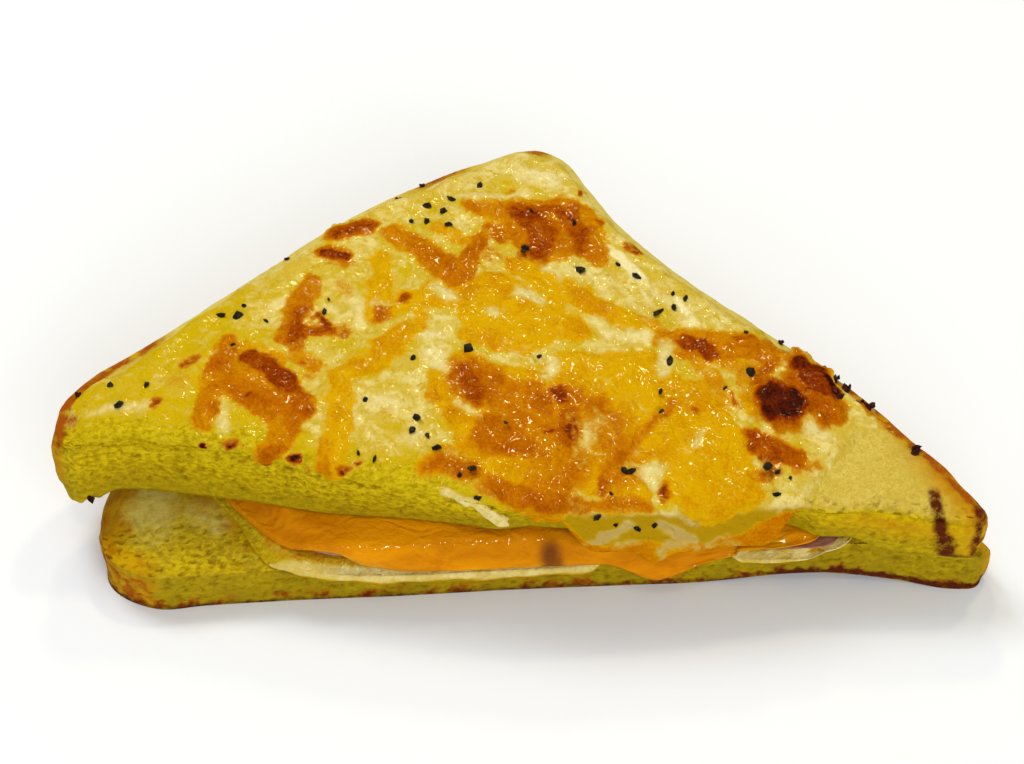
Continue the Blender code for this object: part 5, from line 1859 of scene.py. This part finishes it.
class Specks(Topping):
    """Small angular bits: cracked pepper on the sauce and the cheddar, and burnt crumbs along the crust."""

    SEED = 11
    TRIES = 40
    # How far pepper on sauce stays inside the sauce and outside the cheddar, and how far bits stay apart.
    CLEAR = 1.5
    APART = 2.4
    ON_SAUCE = (
        Throw(-12, 25, 5, 4), Throw(-15, 21, 3, 2), Throw(-5, 31, 1, 1), Throw(20, 11, 4, 2),
        Throw(28, 4, 2, 3), Throw(25, -1, 2, 1), Throw(12, 9, 1, 1), Throw(25, -9, 2, 1),
        Throw(-48, 1, 3, 3), Throw(-42, -1, 1, 1), Throw(-44, 11, 1, 1), Throw(-32, 1, 2, 2),
        Throw(-15, -10, 2, 1), Throw(-24, -20, 1, 1), Throw(-24, -32, 3, 3), Throw(-14, -27, 4, 4),
        Throw(45, -32, 3, 2), Throw(22, -43, 6, 3), Throw(-68, -16, 3, 2), Throw(40, -11, 2, 1),
        Throw(-58, -16, 4, 1))
    ON_CHEDDAR = (
        Throw(2.5, 14.5, 1, 2), Throw(3.5, 24, 1, 1), Throw(11.5, 23, 2, 1), Throw(-47.5, -8, 1, 1),
        Throw(-7.5, -8, 1, 1), Throw(4.5, -10, 1, 1), Throw(-1, -24, 1, 1), Throw(-8, -32, 2, 2),
        Throw(-4, -37, 4, 2), Throw(35, -14.5, 1, 1), Throw(25, -19, 2, 2), Throw(18, -31, 2, 2),
        Throw(16.5, -36, 1, 1), Throw(14, -40.5, 1, 1), Throw(40, -3, 1, 1), Throw(43, -31, 2, 2))
    # Half the length of a flake of pepper: the least, the most and the usual one.
    HALF = (0.4, 1.5, 0.7)
    # Burnt crumbs, as (x, y, half length), then the place of the one that hangs at the left end.
    BURNT = (
        (49.5, -6, 0.9), (52.3, -9, 1.1), (54.8, -10.8, 1.0), (56.6, -12.6, 1.1), (55.4, -15, 1.0),
        (58.4, -16, 1.1), (60, -16.2, 1.2), (67.6, -24, 0.9), (67.3, -25.2, 0.8), (46, -3.4, 0.6),
        (-20.5, 28.6, 0.9), (12, 30, 0.6), (-39.5, 14.6, 0.55), (-16.2, 33.2, 0.55), (-73.2, -15.8, 0.7))
    HANGING = (-71.5, -26.4, 12.2)
    HANGING_HALF = 1.3

    def __init__(self) -> None:
        """Starts with no bits drawn."""
        self.draw = random.Random(self.SEED)

    @staticmethod
    def one(x: float, y: float) -> tuple[Array, Array]:
        """A single place, as the surfaces and the fields take it."""
        return np.array([x]), np.array([y])

    def landed(self, throw: Throw) -> tuple[float, float]:
        """Where one bit of a throw comes down."""
        spread = throw.reach / 2
        return throw.x + self.draw.gauss(0, spread), throw.y + self.draw.gauss(0, spread)

    def on_clear_sauce(self, at: tuple[float, float]) -> bool:
        """Whether a place is well inside the sauce and well outside the cheddar."""
        place = self.one(*at)
        return bool(self.sauce_field(*place)[0] > self.CLEAR and -self.melt(*place)[0] > self.CLEAR)

    def scatter(self) -> list[tuple[float, float]]:
        """Where pepper lies. Bits for the sauce are thrown again until they miss cheddar and other bits."""
        found = []
        for throw in self.ON_SAUCE:
            for _ in range(throw.count):
                for _ in range(self.TRIES):
                    at = self.landed(throw)
                    apart = min((math.dist(at, other) for other in found), default=math.inf)
                    if self.on_clear_sauce(at) and apart > self.APART:
                        found.append(at)
                        break
        found += [self.landed(throw) for throw in self.ON_CHEDDAR for _ in range(throw.count)]
        return found

    def chip(self, bm: bmesh.types.BMesh, where: Array, half: float, flat: float) -> None:
        """Adds one angular chip.

        Args:
            bm: What it is added to, in millimetres.
            where: Its middle.
            half: Half its length.
            flat: Its height as a share of its length.
        """
        made = bmesh.ops.create_icosphere(bm, subdivisions=1, radius=1.0)
        for vertex in made["verts"]:
            vertex.co *= self.draw.uniform(0.6, 1.25)
        tilt = (self.draw.uniform(-0.4, 0.4), self.draw.uniform(-0.4, 0.4))
        turn = Euler((*tilt, self.draw.uniform(0, math.pi)))
        shape = Matrix.Diagonal((half, half * self.draw.uniform(0.35, 0.9), half * flat, 1))
        stand = Matrix.Translation(where) @ turn.to_matrix().to_4x4() @ shape
        bmesh.ops.transform(bm, matrix=stand, verts=made["verts"])

    def pepper(self, finish: bpy.types.Material) -> bpy.types.Object:
        """Makes the pepper.

        Args:
            finish: Its material.

        Returns:
            The piece.
        """
        bm = bmesh.new()
        for at in self.scatter():
            place = self.one(*at)
            lift = self.relief(*place) + 0.15 + np.where(self.melt(*place) > 0.4, 0.75, 0.0)
            self.chip(bm, SHAPE.draped(*place, lift)[0], self.draw.triangular(*self.HALF), 0.6)
        return self.flat_shaded(bm, "cracked_pepper", finish)

    def crumbs(self, finish: bpy.types.Material) -> bpy.types.Object:
        """Makes the burnt crumbs: pairs along the crust, most on the right, and one at the left end.

        Args:
            finish: Its material.

        Returns:
            The piece.
        """
        bm = bmesh.new()
        for x, y, half in self.BURNT:
            height = SHAPE.crumb_top(*self.one(x, y))[0]
            where = np.array([x, y, height + 0.35 * half])
            self.chip(bm, where, half, 0.8)
            self.chip(bm, where + (0.7 * half, 0.5 * half, -0.1), 0.6 * half, 0.9)
        self.chip(bm, np.array(self.HANGING), self.HANGING_HALF, 0.8)
        return self.flat_shaded(bm, "burnt_crumbs", finish)

    @staticmethod
    def flat_shaded(bm: bmesh.types.BMesh, name: str, finish: bpy.types.Material) -> bpy.types.Object:
        """Finishes bits with sharp faces."""
        obj = Builder.finish(bm, name, Builder.places(bm), {}, finish)
        obj.data.shade_flat()
        return obj


@dataclass(frozen=True)
class Lamp:
    """A soft square lamp that points at the sandwich, in metres and watts.

    The glint is its colour where it shows in glossy surfaces. A lamp without one is white and does not show.
    """

    name: str
    place: tuple[float, float, float]
    side: float
    power: float
    glint: Colour | None = None

    def hang(self) -> None:
        """Puts the lamp into the scene."""
        data = bpy.data.lights.new(self.name, "AREA")
        data.energy = self.power
        data.size = self.side
        data.color = self.glint or (1, 1, 1)
        obj = bpy.data.objects.new(self.name, data)
        obj.location = self.place
        obj.rotation_euler = (-Vector(self.place)).to_track_quat("-Z", "Y").to_euler()
        obj.visible_glossy = self.glint is not None
        bpy.context.scene.collection.objects.link(obj)


class Studio:
    """Floor, lights and camera."""

    FLOOR_REACH = 3.0
    FLOOR_COLOUR = (0.87, 0.9, 0.95)
    WORLD_STRENGTH = 0.42
    LAMPS = (
        Lamp("key", (-0.3, 0.3, 0.7), 0.3, 2.8),
        Lamp("fill", (0.25, -0.8, 0.42), 0.7, 4.7),
        Lamp("sparkle", (-0.02, 0.58, 0.62), 0.07, 0.75, (1, 0.86, 0.46)),
        Lamp("second sparkle", (0.2, 0.32, 0.76), 0.07, 0.75, (1, 0.86, 0.46)),
        Lamp("front sparkle", (-0.05, -0.3, 0.78), 0.06, 0.4, (1, 0.88, 0.6)),
    )
    # The camera's aim in millimetres, its distance in metres, its elevation in degrees and its lens.
    TARGET = (0.0, 0.0, 12.0)
    DISTANCE = 0.5
    ELEVATION = 48.0
    LENS = 100.0
    SENSOR = 36.0
    NEAREST = 0.01

    def floor(self) -> None:
        """A plain pale floor."""
        bm = bmesh.new()
        bmesh.ops.create_grid(bm, x_segments=1, y_segments=1, size=self.FLOOR_REACH)
        mesh = bpy.data.meshes.new("floor")
        bm.to_mesh(mesh)
        bm.free()
        obj = bpy.data.objects.new("floor", mesh)
        bpy.context.scene.collection.objects.link(obj)
        s = Shader("pale floor")
        s.paint(self.FLOOR_COLOUR)
        s.body(0.9)
        mesh.materials.append(s.material)
        obj.visible_glossy = False

    def world(self) -> None:
        """Even white light from all round, which doesn't show in glossy surfaces."""
        world = bpy.data.worlds.new("studio")
        world.use_nodes = True
        light = world.node_tree.nodes["Background"].inputs
        light["Color"].default_value = (1, 1, 1, 1)
        light["Strength"].default_value = self.WORLD_STRENGTH
        world.cycles_visibility.glossy = False
        bpy.context.scene.world = world
        bpy.context.scene.view_settings.view_transform = "Standard"

    def camera(self) -> None:
        """A long lens that looks down on the cut face."""
        target = (Vector(self.TARGET) - Vector((*CENTRE, 0))) * MM
        angle = math.radians(self.ELEVATION)
        back = Vector((0, -math.cos(angle), math.sin(angle)))
        data = bpy.data.cameras.new("camera")
        data.lens = self.LENS
        data.sensor_width = self.SENSOR
        data.clip_start = self.NEAREST
        camera = bpy.data.objects.new("camera", data)
        camera.location = target + back * self.DISTANCE
        camera.rotation_euler = (-back).to_track_quat("-Z", "Y").to_euler()
        bpy.context.scene.collection.objects.link(camera)
        bpy.context.scene.camera = camera

    def build(self) -> None:
        """Sets up the floor, the lights, the world and the camera."""
        self.floor()
        for lamp in self.LAMPS:
            lamp.hang()
        self.world()
        self.camera()


def hand_over(piece: bpy.types.Object, slot: str, *nodes: str) -> None:
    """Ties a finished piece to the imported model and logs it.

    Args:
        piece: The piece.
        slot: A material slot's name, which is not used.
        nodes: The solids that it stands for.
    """
    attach(piece, "root")
    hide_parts(*nodes)
    LOG.info("%s: %d faces, for %s", piece.name, len(piece.data.polygons), ", ".join(nodes))


def main() -> None:
    """Builds every piece and the studio."""
    logging.basicConfig(level=logging.INFO, format="%(name)s %(message)s")
    crumb = CrumbFinish().material()
    hand_over(BaseSlice().build(crumb), "toast", "bread_bottom")
    squeezed = BakedFinish("squeezed white sauce").material()
    hand_over(LowerSauce().build(squeezed), "white_sauce", "sauce_lower")
    hand_over(Ham().build(HamFinish().material()), "ham", "ham")
    hand_over(CheddarSlice().build(SliceFinish().material()), "cheddar", "cheddar_slice")
    hand_over(UpperSlice().build(crumb), "toast", "bread_top")
    baked = BakedFinish("baked white sauce").material()
    hand_over(BakedSauce().build(baked), "white_sauce", "sauce_top")
    melted = BakedFinish("melted cheddar", gloss=0.6).material()
    for patch in PATCHES:
        hand_over(CheddarPatch(patch).build(melted), "melted_cheddar", patch.node)
    specks = Specks()
    pepper = SpeckFinish("cracked pepper", srgb(26, 24, 18), srgb(96, 84, 56)).material()
    hand_over(specks.pepper(pepper), "white_sauce", "sauce_top")
    burnt = SpeckFinish("burnt crumbs", srgb(52, 18, 16), srgb(92, 34, 18)).material()
    hand_over(specks.crumbs(burnt), "toast", "bread_top")
    Studio().build()


if __name__ == "__main__":
    main()
